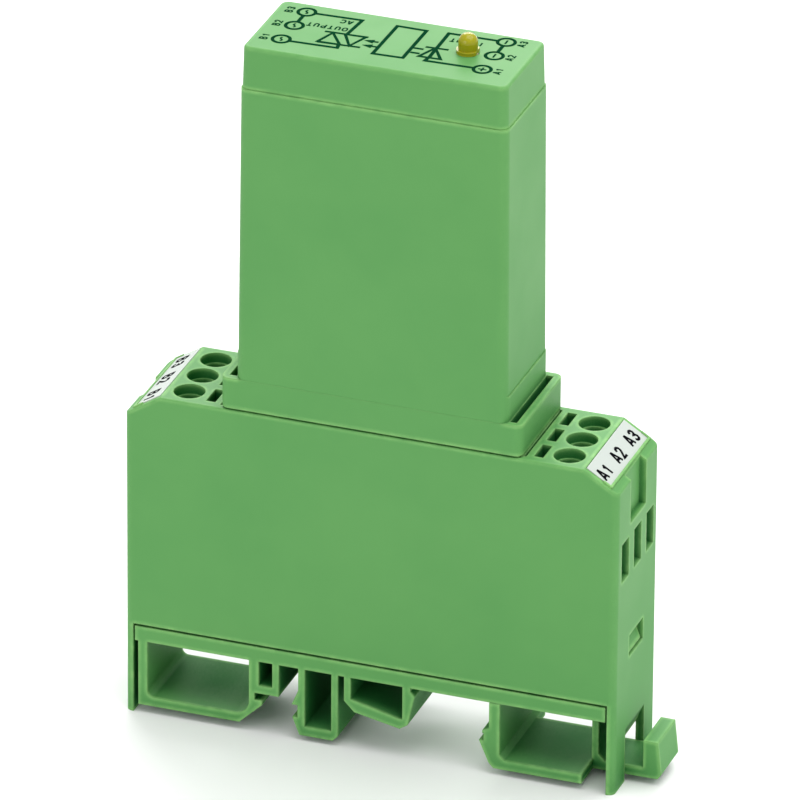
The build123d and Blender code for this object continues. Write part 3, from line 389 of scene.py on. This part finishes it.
finishes = {
    # slot: surface group, its inputs, and what the shader itself is given
    # in each moulded finish the edge tint is a painted highlight colour and the recess tint is a painted
    # shade colour
    "housing_green": ("moulded", {
        "Plastic": (0.116, 0.330, 0.097, 1), "Deep": (0.104, 0.312, 0.091, 1),
        "Edge Tint": (0.290, 0.590, 0.195, 1), "Painted Shade Tint": (0.002, 0.112, 0.018, 1), "Painted Highlight Strength": 0.8,
        "Grain Scale": 2600, "Grain Depth": 0.25, "Edge Width": 0.34 * mm, "Rough": 0.46},
        {"Specular IOR Level": 0.11}),
    "marker_white": ("moulded", {
        "Plastic": (0.53, 0.58, 0.54, 1), "Deep": (0.50, 0.55, 0.51, 1), "Edge Tint": (0.62, 0.74, 0.62, 1),
        "Painted Shade Tint": (0.3, 0.36, 0.3, 1),
        "Grain Scale": 2200, "Grain Depth": 0.12, "Edge Width": 0.12 * mm, "Rough": 0.4}, {}),
    "component_black": ("moulded", {
        "Plastic": (0.022, 0.022, 0.024, 1), "Deep": (0.014, 0.014, 0.015, 1),
        "Edge Tint": (0.09, 0.09, 0.09, 1), "Painted Shade Tint": (0.008, 0.008, 0.008, 1),
        "Grain Scale": 5200, "Grain Depth": 0.5, "Edge Width": 0.12 * mm, "Rough": 0.55}, {}),
    "capacitor_red": ("moulded", {
        "Plastic": (0.42, 0.05, 0.035, 1), "Deep": (0.33, 0.035, 0.025, 1), "Edge Tint": (0.6, 0.16, 0.12, 1),
        "Painted Shade Tint": (0.14, 0.012, 0.01, 1),
        "Grain Scale": 1400, "Grain Depth": 0.15, "Edge Width": 0.3 * mm, "Rough": 0.3},
        {"Coat Weight": 0.3}),
    "varistor_blue": ("moulded", {
        "Plastic": (0.045, 0.15, 0.43, 1), "Deep": (0.03, 0.11, 0.34, 1), "Edge Tint": (0.12, 0.28, 0.6, 1),
        "Painted Shade Tint": (0.012, 0.04, 0.14, 1),
        "Grain Scale": 900, "Grain Depth": 0.3, "Edge Width": 0.5 * mm, "Rough": 0.28},
        {"Coat Weight": 0.4}),
    "resistor_tan": ("moulded", {
        "Plastic": (0.50, 0.38, 0.23, 1), "Deep": (0.42, 0.31, 0.18, 1), "Edge Tint": (0.66, 0.55, 0.4, 1),
        "Painted Shade Tint": (0.18, 0.12, 0.07, 1),
        "Grain Scale": 2400, "Grain Depth": 0.3, "Edge Width": 0.2 * mm, "Rough": 0.4},
        {"Coat Weight": 0.2}),
    "screw_steel": ("plated", {
        "Metal": (0.66, 0.66, 0.63, 1), "Dull": (0.46, 0.46, 0.43, 1),
        "Line Stretch": (5000, 5000, 700), "Rough": 0.3}, {"Metallic": 1}),
    "clamp_steel": ("plated", {
        "Metal": (0.62, 0.62, 0.60, 1), "Dull": (0.44, 0.44, 0.42, 1),
        "Line Stretch": (4200, 4200, 260), "Rough": 0.36}, {"Metallic": 1}),
    "bar_brass": ("plated", {
        "Metal": (0.72, 0.60, 0.36, 1), "Dull": (0.52, 0.42, 0.24, 1),
        "Line Stretch": (260, 4200, 4200), "Rough": 0.32}, {"Metallic": 1}),
    "lead_tin": ("plated", {
        "Metal": (0.70, 0.70, 0.71, 1), "Dull": (0.52, 0.52, 0.52, 1),
        "Line Stretch": (3200, 3200, 300), "Rough": 0.34}, {"Metallic": 1}),
    "plate_aluminium": ("plated", {
        "Metal": (0.78, 0.79, 0.80, 1), "Dull": (0.62, 0.63, 0.64, 1),
        "Line Stretch": (160, 4200, 4200), "Rough": 0.38}, {"Metallic": 1}),
    "board_laminate": ("board", {
        "Mask": (0.03, 0.16, 0.06, 1), "Track": (0.07, 0.27, 0.10, 1), "Rough": 0.35}, {"Coat Weight": 0.25}),
    "lamp_amber": ("moulded", {
        "Plastic": (0.46, 0.43, 0.002, 1), "Deep": (0.36, 0.33, 0.002, 1), "Edge Tint": (0.66, 0.62, 0.03, 1),
        "Painted Shade Tint": (0.22, 0.20, 0.001, 1),
        "Grain Scale": 700, "Grain Depth": 0.03, "Edge Width": 0.1 * mm, "Rough": 0.16},
        {"Specular IOR Level": 0.25, "Transmission Weight": 0.2, "Coat Weight": 0.25}),
}
materials = {}
for slotName, (group, values, shader) in finishes.items():
    materials[slotName] = makeMaterial(slotName.replace("_", " "), group, values, shader)

materials["greenPrint"] = makeMaterial("dark green print", "ink", {
    "Ink": (0.004, 0.044, 0.017, 1), "Under": (0.08, 0.30, 0.07, 1), "Thinning": 0.3},
    {"Specular IOR Level": 0})
materials["blackPrint"] = makeMaterial("black print", "ink", {
    "Ink": (0.005, 0.005, 0.007, 1), "Under": (0.4, 0.4, 0.42, 1), "Thinning": 0.15},
    {"Specular IOR Level": 0})
materials["solder"] = makeMaterial("solder", "plated", {
    "Metal": (0.72, 0.72, 0.72, 1), "Dull": (0.5, 0.5, 0.5, 1),
    "Line Stretch": (1500, 1500, 1500), "Rough": 0.22}, {"Metallic": 1})

for part in record["subparts"]:
    held = frame["nodes"][part["node"]].data.materials
    held.clear()
    held.append(materials[part["material_slot"]])
print("materials set on", len(record["subparts"]), "CAD nodes")


# Printed circuit symbol on the cap

printDepth = 0.03
printHeight = 0.02
layerStep = 0.0006
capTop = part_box("top_cap")[1].z / mm
printLow = capTop - printDepth
printHigh = capTop + printHeight

capPrint = {
    # widths, and (x, y) points on the cap in millimetres
    "line": 0.56,
    "thinLine": 0.48,
    "frame": [(-1.59, 5.76), (2.82, 5.70), (2.74, -4.01), (-1.73, -4.15)],
    "leads": [
        [(-13.98, 5.58), (-6.87, 5.78), (-7.30, 0.75)],
        [(-14.15, -4.38), (-7.05, -4.16), (-7.20, -3.05)],
        [(6.15, -2.30), (6.07, 6.02), (13.35, 6.10)],
        [(6.20, -2.00), (5.95, -3.76), (13.20, -3.60)],
    ],
    "bars": [
        [(-10.57, 0.47), (-4.12, 0.68)],
        [(-10.38, -3.19), (-4.07, -2.88)],
        [(4.51, 0.59), (7.88, 0.76)],
    ],
    "triangles": [
        [(-9.33, 0.40), (-10.40, -3.05), (-7.10, -2.98)],
        [(-7.55, 0.55), (-4.45, 0.60), (-5.69, -2.90)],
        [(5.95, 0.70), (4.65, -2.68), (7.88, -2.60)],
    ],
    "arrows": [(-4.36, -0.39), (-4.11, -1.95)],
    "arrowLength": 2.15,
    "arrowRise": 0.04,
    "arrowTip": (1.45, 0.60),
    "arrowOverlap": 0.1,
    "arrowLine": 0.42,
    "dashes": [[(3.06, -0.32), (4.52, -0.30)], [(3.09, -1.85), (4.46, -1.83)]],
    "ties": [[(-15.25, 4.45), (-15.27, 1.95)], [(14.62, 4.90), (14.60, 2.38)]],
}

bm = bmesh.new()
layers = itertools.count(1)


def layerTop():
    # each stroke a hair higher than the last, so that none share a face
    return printHigh + layerStep * next(layers)


def finishMarks(name, bm, material):
    marks = fromBmesh(name, bm)
    marks.data.materials.append(materials[material])
    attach(marks, "root")


ribbon(bm, capPrint["frame"], capPrint["line"], printLow, layerTop(), closed=True)
for path in capPrint["leads"] + capPrint["ties"]:
    ribbon(bm, path, capPrint["line"], printLow, layerTop())
for path in capPrint["bars"] + capPrint["dashes"]:
    ribbon(bm, path, capPrint["thinLine"], printLow, layerTop())
for outline in capPrint["triangles"]:
    ribbon(bm, outline, capPrint["thinLine"], printLow, layerTop(), closed=True)
for x, y in capPrint["arrows"]:
    barb = x + capPrint["arrowTip"][0]
    half = capPrint["arrowTip"][1]
    shaft = [(barb - capPrint["arrowOverlap"], y), (x + capPrint["arrowLength"], y + capPrint["arrowRise"])]
    ribbon(bm, shaft, capPrint["arrowLine"], printLow, layerTop())
    slab(bm, [(x, y), (barb, y - half), (barb, y + half)], printLow, layerTop())
finishMarks("capCircuitSymbol", bm, "greenPrint")
print("circuit symbol printed")


# Printed rings and their signs, one ring at each terminal

terminalRings = {
    "radius": 1.25,
    "line": 0.50,
    "thickness": 0.05,
    "centres": [(-15.21, 5.62), (-15.30, 0.78), (-15.45, -4.14),
                (14.65, 6.08), (14.57, 1.21), (14.49, -3.63)],
    "signs": ["wave", "wave", "wave", "minus", "minus", "plus"],
    "signReach": 0.62,
    "signLine": 0.28,
    "waveSwing": 0.2,
    "waveStep": 0.12,
}


def makeRingTree():
    tree, start, end = newGroup("ringsAtPoints", "GeometryNodeTree", [
        ("Geometry", "NodeSocketGeometry", None),
        ("Ring Radius", "NodeSocketFloat", 1.0 * mm),
        ("Line Width", "NodeSocketFloat", 0.3 * mm),
        ("Line Height", "NodeSocketFloat", 0.05 * mm),
        ("Ink", "NodeSocketMaterial", None),
    ], [("Geometry", "NodeSocketGeometry")])
    ring = addNode(tree, "GeometryNodeCurvePrimitiveCircle", (-800, 200), {
        "Resolution": 40, "Radius": start.outputs["Ring Radius"]})
    stroke = addNode(tree, "GeometryNodeCurvePrimitiveQuadrilateral", (-800, -100), {
        "Width": start.outputs["Line Width"], "Height": start.outputs["Line Height"]})
    band = addNode(tree, "GeometryNodeCurveToMesh", (-500, 100), {
        "Curve": ring.outputs["Curve"], "Profile Curve": stroke.outputs["Curve"]})
    copies = addNode(tree, "GeometryNodeInstanceOnPoints", (-250, 100), {
        "Points": start.outputs["Geometry"], "Instance": band.outputs["Mesh"]})
    real = addNode(tree, "GeometryNodeRealizeInstances", (0, 100), {"Geometry": copies.outputs["Instances"]})
    inked = addNode(tree, "GeometryNodeSetMaterial", (250, 100), {
        "Geometry": real.outputs["Geometry"], "Material": start.outputs["Ink"]})
    tree.links.new(inked.outputs["Geometry"], end.inputs["Geometry"])
    return tree


def setInputs(modifier, values):
    for item in modifier.node_group.interface.items_tree:
        if item.item_type == "SOCKET" and item.in_out == "INPUT" and item.name in values:
            modifier[item.identifier] = values[item.name]


def atPoints(name, points, tree, values):
    # points carry the shape; the result is a plain mesh
    mesh = bpy.data.meshes.new(name)
    mesh.from_pydata([[c * mm for c in p] for p in points], [], [])
    maker = meshObject(name + " points", mesh)
    modifier = maker.modifiers.new("shape", "NODES")
    modifier.node_group = tree
    setInputs(modifier, values)
    return plainCopy(maker, name)


ringPlaces = [(x, y, capTop) for x, y in terminalRings["centres"]]
rings = atPoints("capTerminalRings", ringPlaces, makeRingTree(), {
    "Ring Radius": terminalRings["radius"] * mm, "Line Width": terminalRings["line"] * mm,
    "Line Height": terminalRings["thickness"] * mm, "Ink": materials["greenPrint"]})
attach(rings, "root")

bm = bmesh.new()
signLine = terminalRings["signLine"]
long, thin = terminalRings["signReach"], signLine / 2
swing, step = terminalRings["waveSwing"], terminalRings["waveStep"]
for (x, y), sign in zip(terminalRings["centres"], terminalRings["signs"]):
    if sign == "wave":
        path = [(x - swing * math.sin(k * math.pi / 5), y + step * k) for k in range(-5, 6)]
        ribbon(bm, path, signLine, printLow, printHigh)
    elif sign == "minus":
        ribbon(bm, [(x, y - long), (x, y + long)], signLine, printLow, printHigh)
    else:
        corners = [(long, thin), (thin, thin), (thin, long), (-thin, long), (-thin, thin), (-long, thin)]
        corners += [(-dx, -dy) for dx, dy in corners]
        slab(bm, [(x + dx, y + dy) for dx, dy in corners], printLow, printHigh)
finishMarks("capTerminalSigns", bm, "greenPrint")
print("rings and signs printed")


# Drawn letters on the marker strips and the cap

glyphs = {
    # strokes of a letter one unit high, about its middle; a stroke that ends where it starts is a loop
    "A": [[(-0.36, -0.5), (-0.05, 0.5), (0.05, 0.5), (0.36, -0.5)], [(-0.24, -0.2), (0.24, -0.2)]],
    "B": [[(-0.28, -0.5), (-0.28, 0.5), (0.06, 0.5), (0.22, 0.42), (0.27, 0.27), (0.20, 0.11), (0.04, 0.04),
           (-0.28, 0.04)],
          [(0.04, 0.04), (0.24, -0.04), (0.32, -0.22), (0.24, -0.42), (0.06, -0.5), (-0.28, -0.5)]],
    "C": [[(0.32, 0.3), (0.2, 0.46), (0, 0.5), (-0.22, 0.42), (-0.33, 0.18), (-0.33, -0.18), (-0.22, -0.42),
           (0, -0.5), (0.2, -0.46), (0.32, -0.3)]],
    "I": [[(0, -0.5), (0, 0.5)]],
    "N": [[(-0.28, -0.5), (-0.28, 0.5), (0.28, -0.5), (0.28, 0.5)]],
    "O": [[(0.33, 0.18), (0.22, 0.42), (0, 0.5), (-0.22, 0.42), (-0.33, 0.18), (-0.33, -0.18), (-0.22, -0.42),
           (0, -0.5), (0.22, -0.42), (0.33, -0.18), (0.33, 0.18)]],
    "P": [[(-0.28, -0.5), (-0.28, 0.5), (0.08, 0.5), (0.26, 0.42), (0.31, 0.24), (0.25, 0.06), (0.08, -0.02),
           (-0.28, -0.02)]],
    "T": [[(-0.34, 0.5), (0.34, 0.5)], [(0, 0.5), (0, -0.5)]],
    "U": [[(-0.3, 0.5), (-0.3, -0.22), (-0.2, -0.43), (0, -0.5), (0.2, -0.43), (0.3, -0.22), (0.3, 0.5)]],
    "1": [[(0.06, 0.5), (0.06, -0.5)], [(-0.22, 0.22), (0.14, 0.43)]],
    "2": [[(-0.3, 0.24), (-0.24, 0.42), (-0.06, 0.5), (0.14, 0.47), (0.27, 0.33), (0.26, 0.14), (0.12, -0.06),
           (-0.32, -0.5), (0.32, -0.5)]],
    "3": [[(-0.28, 0.3), (-0.18, 0.45), (0.02, 0.5), (0.2, 0.43), (0.27, 0.27), (0.2, 0.1), (-0.04, 0.03),
           (0.2, -0.04), (0.3, -0.23), (0.22, -0.43), (0.02, -0.5), (-0.2, -0.44), (-0.31, -0.28)]],
}
letterAdvance = 0.84


def setOnSurface(bm, firstVert, middle, right, up):
    # moves what was drawn flat since firstVert to middle, in millimetres, facing out of the surface
    out = right.cross(up)
    place = Matrix((
        (right.x, up.x, out.x, middle[0] * mm),
        (right.y, up.y, out.y, middle[1] * mm),
        (right.z, up.z, out.z, middle[2] * mm),
        (0, 0, 0, 1)))
    bm.verts.ensure_lookup_table()
    bmesh.ops.transform(bm, matrix=place, verts=bm.verts[firstVert:])


def setWord(bm, word, style, middle, right, up):
    size, squeeze, stroke = style["size"], style["squeeze"], style["stroke"]
    firstVert = len(bm.verts)
    pitch = letterAdvance * size * squeeze + stroke
    top = printHeight
    for place, letter in enumerate(word):
        shift = pitch * (place - (len(word) - 1) / 2)
        for path in glyphs[letter]:
            points = [(x * size * squeeze + shift, y * size) for x, y in path]
            loop = path[0] == path[-1]
            top += layerStep
            ribbon(bm, points[:-1] if loop else points, stroke, -printDepth, top, closed=loop)
    setOnSurface(bm, firstVert, middle, right, up)


stripMarks = {
    # middle is a strip's (x, z), and slope a step of one millimetre down it in x and z
    "size": 1.85,
    "squeeze": 0.90,
    "stroke": 0.44,
    "pitch": 5.75,
    "shift": -0.3,
    "middle": (34.50, 43.785),
    "slope": (0.849, 0.5286),
    "lip": [(-8.3, -0.6), (-8.3, -1.98), (8.3, -1.98), (8.3, -0.6)],
    "lipWidth": 0.42,
    "lipHeight": (-0.2, 0.13),
}
for end, sign in (("a", 1), ("b", -1)):
    bm = bmesh.new()
    right = Vector((0, sign, 0))
    up = Vector((-stripMarks["slope"][0] * sign, 0, stripMarks["slope"][1]))
    middle = (stripMarks["middle"][0] * sign, 0, stripMarks["middle"][1])
    for number in (1, 2, 3):
        y = stripMarks["pitch"] * (number - 2) + stripMarks["shift"]
        setWord(bm, end.upper() + str(number), stripMarks, (middle[0], y, middle[2]), right, up)
    finishMarks("stripLetters_" + end, bm, "blackPrint")
    bm = bmesh.new()
    ribbon(bm, stripMarks["lip"], stripMarks["lipWidth"], *stripMarks["lipHeight"])
    setOnSurface(bm, 0, middle, right, up)
    finishMarks("stripLip_" + end, bm, "housing_green")

capWords = {
    "size": 1.02,
    "squeeze": 0.95,
    "stroke": 0.25,
    "besideRings": {"B3": (-17.75, 5.62), "B2": (-17.85, 0.78), "B1": (-17.95, -4.14),
                    "A3": (17.05, 6.25), "A2": (16.95, 1.35), "A1": (16.85, -3.50)},
    "captions": {"AC": (-8.75, 4.45), "OUTPUT": (-10.8, 2.0), "INPUT": (9.45, 4.1)},
}
bm = bmesh.new()
for word, (x, y) in capWords["besideRings"].items():
    setWord(bm, word, capWords, (x, y, capTop), Vector((0, 1, 0)), Vector((-1, 0, 0)))
for word, (x, y) in capWords["captions"].items():
    setWord(bm, word, capWords, (x, y, capTop), Vector((-1, 0, 0)), Vector((0, -1, 0)))
finishMarks("capWords", bm, "greenPrint")
print("letters set")


# Terminal screws with a cut thread and a driver slot

screwShape = {
    # heights in the frame, then radii and sizes, in millimetres, and a turn in degrees
    "tip": 32.65,
    "seat": 41.0,
    "top": 42.6,
    "sides": 40,
    "core": 1.0,
    "crest": 1.22,
    "head": 1.83,
    "pitch": 0.5,
    "threadGap": 0.1,
    "plainLength": 0.9,
    "slotWidth": 0.6,
    "slotDepth": 0.9,
    "slotPast": 0.4,
    "mostTurn": 24,
}


def makeThreadTree():
    tree, start, end = newGroup("cutThread", "GeometryNodeTree", [
        ("Geometry", "NodeSocketGeometry", None),
        ("Turns", "NodeSocketFloat", 10.0),
        ("Pitch", "NodeSocketFloat", 0.5 * mm),
        ("Core Radius", "NodeSocketFloat", 1.0 * mm),
        ("Ridge Size", "NodeSocketFloat", 0.3 * mm),
        ("Metal", "NodeSocketMaterial", None),
    ], [("Geometry", "NodeSocketGeometry")])
    height = addNode(tree, "ShaderNodeMath", (-900, -100), {
        0: start.outputs["Turns"], 1: start.outputs["Pitch"]}, operation="MULTIPLY")
    path = addNode(tree, "GeometryNodeCurveSpiral", (-650, 200), {
        "Resolution": 20, "Rotations": start.outputs["Turns"], "Start Radius": start.outputs["Core Radius"],
        "End Radius": start.outputs["Core Radius"], "Height": height.outputs[0]})
    ridge = addNode(tree, "GeometryNodeCurvePrimitiveCircle", (-650, -200), {
        "Resolution": 4, "Radius": start.outputs["Ridge Size"]})
    wound = addNode(tree, "GeometryNodeCurveToMesh", (-350, 100), {
        "Curve": path.outputs["Curve"], "Profile Curve": ridge.outputs["Curve"], "Fill Caps": True})
    real = addNode(tree, "GeometryNodeRealizeInstances", (-100, 100), {"Geometry": wound.outputs["Mesh"]})
    plated = addNode(tree, "GeometryNodeSetMaterial", (150, 100), {
        "Geometry": real.outputs["Geometry"], "Material": start.outputs["Metal"]})
    tree.links.new(plated.outputs["Geometry"], end.inputs["Geometry"])
    return tree


def screwMesh():
    s = screwShape
    ridge = s["crest"] - s["core"]
    threadLength = s["seat"] - s["tip"] - s["plainLength"]
    thread = atPoints("thread", [(0, 0, 0)], makeThreadTree(), {
        "Turns": threadLength / s["pitch"], "Pitch": s["pitch"] * mm, "Core Radius": s["core"] * mm,
        "Ridge Size": ridge * mm, "Metal": materials["screw_steel"]})
    thread.data.transform(Matrix.Translation((0, 0, (s["tip"] + ridge + s["threadGap"]) * mm)))
    bm = bmesh.new()
    # a bevelled point, a neck that widens under the head, and a head with a rounded rim
    turned(bm, [
        (0, s["tip"]), (0.7, s["tip"]), (s["core"], s["tip"] + 0.3), (s["core"], s["seat"] - 0.5),
        (s["core"] + 0.12, s["seat"] - 0.3), (s["core"] + 0.2, s["seat"]), (s["head"] - 0.12, s["seat"]),
        (s["head"], s["seat"] + 0.12), (s["head"], s["top"] - 0.3), (s["head"] - 0.06, s["top"] - 0.14),
        (s["head"] - 0.2, s["top"] - 0.04), (s["head"] - 0.4, s["top"]), (0, s["top"])],
        s["sides"])
    blank = fromBmesh("screw blank", bm)
    cutter = bmesh.new()
    half, reach = s["slotWidth"] / 2, s["head"] + s["slotPast"]
    slab(cutter, [(-reach, -half), (reach, -half), (reach, half), (-reach, half)],
         s["top"] - s["slotDepth"], s["top"] + s["slotPast"])
    knife = fromBmesh("slot knife", cutter)
    cut = blank.modifiers.new("slot", "BOOLEAN")
    cut.operation = "DIFFERENCE"
    cut.solver = "EXACT"
    cut.object = knife
    slotted = plainCopy(blank, "slotted screw")
    bpy.data.objects.remove(knife)
    whole = bmesh.new()
    whole.from_mesh(slotted.data)
    whole.from_mesh(thread.data)
    mesh = bpy.data.meshes.new("threaded screw")
    whole.to_mesh(mesh)
    whole.free()
    for spare in (slotted, thread):
        bpy.data.objects.remove(spare)
    return mesh


oneScrew = screwMesh()
for name in terminals:
    low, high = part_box("terminal_screw_" + name)
    mesh = oneScrew.copy()
    turn = random.uniform(-screwShape["mostTurn"], screwShape["mostTurn"])
    mesh.transform(Matrix.Rotation(math.radians(turn), 4, "Z"))
    mesh.transform(Matrix.Translation(((low.x + high.x) / 2, (low.y + high.y) / 2, 0)))
    screw = meshObject("clampScrew_" + name, mesh)
    mesh.materials.clear()
    mesh.materials.append(materials["screw_steel"])
    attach(screw, "screw_" + name)
    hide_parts("terminal_screw_" + name)
print("screws cut")


# Solder joints where the leads come through the board

solderJoints = {
    # (radius, height) along one joint, and the (x, z) of those behind and before the board
    "boardHalf": 0.8,
    "sides": 14,
    "sizes": (0.9, 1.08),
    "seed": 5,
    "profile": [(0, -0.03), (0.86, -0.03), (0.84, 0.03), (0.62, 0.13), (0.50, 0.32), (0.44, 0.55),
                (0.36, 0.68), (0, 0.74)],
    "behind": [(-5.54, 57), (-3.0, 57), (-0.46, 57), (8.81, 39.46), (8.81, 42), (8.81, 44.54), (1.19, 39.46),
               (1.19, 42), (1.19, 44.54), (13.08, 28), (2.92, 28), (13.08, 22), (2.92, 22)],
    "before": [(14, 66), (4, 66), (-6.5, 59.5), (-11.5, 59.5), (0.35, 48), (-12.35, 48)],
}


def makeCopiesTree():
    tree, start, end = newGroup("copiesAtPoints", "GeometryNodeTree", [
        ("Geometry", "NodeSocketGeometry", None),
        ("Shape", "NodeSocketObject", None),
        ("Least Size", "NodeSocketFloat", 0.9),
        ("Most Size", "NodeSocketFloat", 1.1),
        ("Seed", "NodeSocketInt", 3),
        ("Finish", "NodeSocketMaterial", None),
    ], [("Geometry", "NodeSocketGeometry")])
    shape = addNode(tree, "GeometryNodeObjectInfo", (-800, -100), {"Object": start.outputs["Shape"]})
    size = addNode(tree, "FunctionNodeRandomValue", (-800, -350), data_type="FLOAT")
    floats = [s for s in size.inputs if s.type == "VALUE" and s.enabled]
    tree.links.new(start.outputs["Least Size"], floats[0])
    tree.links.new(start.outputs["Most Size"], floats[1])
    tree.links.new(start.outputs["Seed"], size.inputs["Seed"])
    drawn = [s for s in size.outputs if s.type == "VALUE" and s.enabled][0]
    copies = addNode(tree, "GeometryNodeInstanceOnPoints", (-450, 100), {
        "Points": start.outputs["Geometry"], "Instance": shape.outputs["Geometry"], "Scale": drawn})
    real = addNode(tree, "GeometryNodeRealizeInstances", (-150, 100), {
        "Geometry": copies.outputs["Instances"]})
    done = addNode(tree, "GeometryNodeSetMaterial", (150, 100), {
        "Geometry": real.outputs["Geometry"], "Material": start.outputs["Finish"]})
    tree.links.new(done.outputs["Geometry"], end.inputs["Geometry"])
    return tree


copiesTree = makeCopiesTree()
for side, key, sign in (("back", "behind", 1), ("front", "before", -1)):
    bm = bmesh.new()
    turned(bm, solderJoints["profile"], solderJoints["sides"])
    cone = fromBmesh("one joint", bm)
    cone.data.transform(Matrix.Rotation(-math.pi / 2 * sign, 4, "X"))
    places = [(x, solderJoints["boardHalf"] * sign, z) for x, z in solderJoints[key]]
    joints = atPoints("solderJoints_" + side, places, copiesTree, {
        "Shape": cone, "Least Size": solderJoints["sizes"][0], "Most Size": solderJoints["sizes"][1],
        "Seed": solderJoints["seed"], "Finish": materials["solder"]})
    bpy.data.objects.remove(cone)
    for face in joints.data.polygons:
        face.use_smooth = True
    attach(joints, "root")
print("solder joints made")


# Light, floor and camera

studio = {
    # where each light box stands, the height it aims at, its width and height, and its power
    "boxes": {
        "top box": ((0.36, 0.05, 1.26), 0.05, (1.4, 1.4), 13.5),
        "back box": ((-0.60, 1.60, 0.95), 0.08, (1.7, 1.0), 28),
        "end box": ((1.30, -0.70, 0.70), 0.05, (0.9, 0.9), 0.5),
        "front box": ((-0.60, -1.40, 0.60), 0.05, (0.9, 0.9), 4),
    },
    "roomLight": 0.67,
    "floorReach": 4,
    "floorLevel": sizeBefore[0].z,
    "lens": 540,
    "sensor": 36,
    "nearAndFar": (0.05, 30),
    # fitted to the photograph
    "cameraPlace": ((0.939959, -0.158523, 0.302237, 0.520361),
                    (0.341222, 0.419237, -0.841313, -1.444936),
                    (0.006659, 0.893930, 0.448157, 0.816210),
                    (0, 0, 0, 1)),
}

for name, (place, aimHeight, (width, height), power) in studio["boxes"].items():
    light = bpy.data.lights.new(name, "AREA")
    light.shape = "RECTANGLE"
    light.size = width
    light.size_y = height
    light.energy = power
    made = bpy.data.objects.new(name, light)
    made.location = place
    made.rotation_euler = (Vector((0, 0, aimHeight)) - Vector(place)).to_track_quat("-Z", "Y").to_euler()
    scene.collection.objects.link(made)

world = bpy.data.worlds.new("white room")
world.use_nodes = True
world.node_tree.nodes["Background"].inputs["Color"].default_value = (1, 1, 1, 1)
world.node_tree.nodes["Background"].inputs["Strength"].default_value = studio["roomLight"]
scene.world = world

floorMesh = bpy.data.meshes.new("floor")
reach, level = studio["floorReach"], studio["floorLevel"]
floorMesh.from_pydata([(-reach, -reach, level), (reach, -reach, level), (reach, reach, level),
                       (-reach, reach, level)], [], [(0, 1, 2, 3)])
floor = meshObject("floor", floorMesh)
paper = bpy.data.materials.new("white paper")
paper.use_nodes = True
paperShader = paper.node_tree.nodes["Principled BSDF"]
paperSpots = addNode(paper.node_tree, "ShaderNodeTexCoord", (-900, 200)).outputs["Object"]
paperNoise = addNode(paper.node_tree, "ShaderNodeTexNoise", (-700, 200), {
    "Vector": paperSpots, "Scale": 6, "Detail": 3})
paperTone = mixColor(paper.node_tree, paperNoise.outputs["Fac"],
                     (0.93, 0.93, 0.93, 1), (0.95, 0.95, 0.95, 1), (-400, 200))
paper.node_tree.links.new(paperTone, paperShader.inputs["Base Color"])
paperShader.inputs["Roughness"].default_value = 0.9
paperShader.inputs["Specular IOR Level"].default_value = 0.1
floorMesh.materials.append(paper)

cameraData = bpy.data.cameras.new("camera")
cameraData.lens = studio["lens"]
cameraData.sensor_width = studio["sensor"]
cameraData.clip_start, cameraData.clip_end = studio["nearAndFar"]
camera = bpy.data.objects.new("camera", cameraData)
scene.collection.objects.link(camera)
camera.matrix_world = Matrix(studio["cameraPlace"])
scene.camera = camera
scene.view_settings.view_transform = "Standard"
scene.view_settings.look = "None"
print("light, floor and camera set")
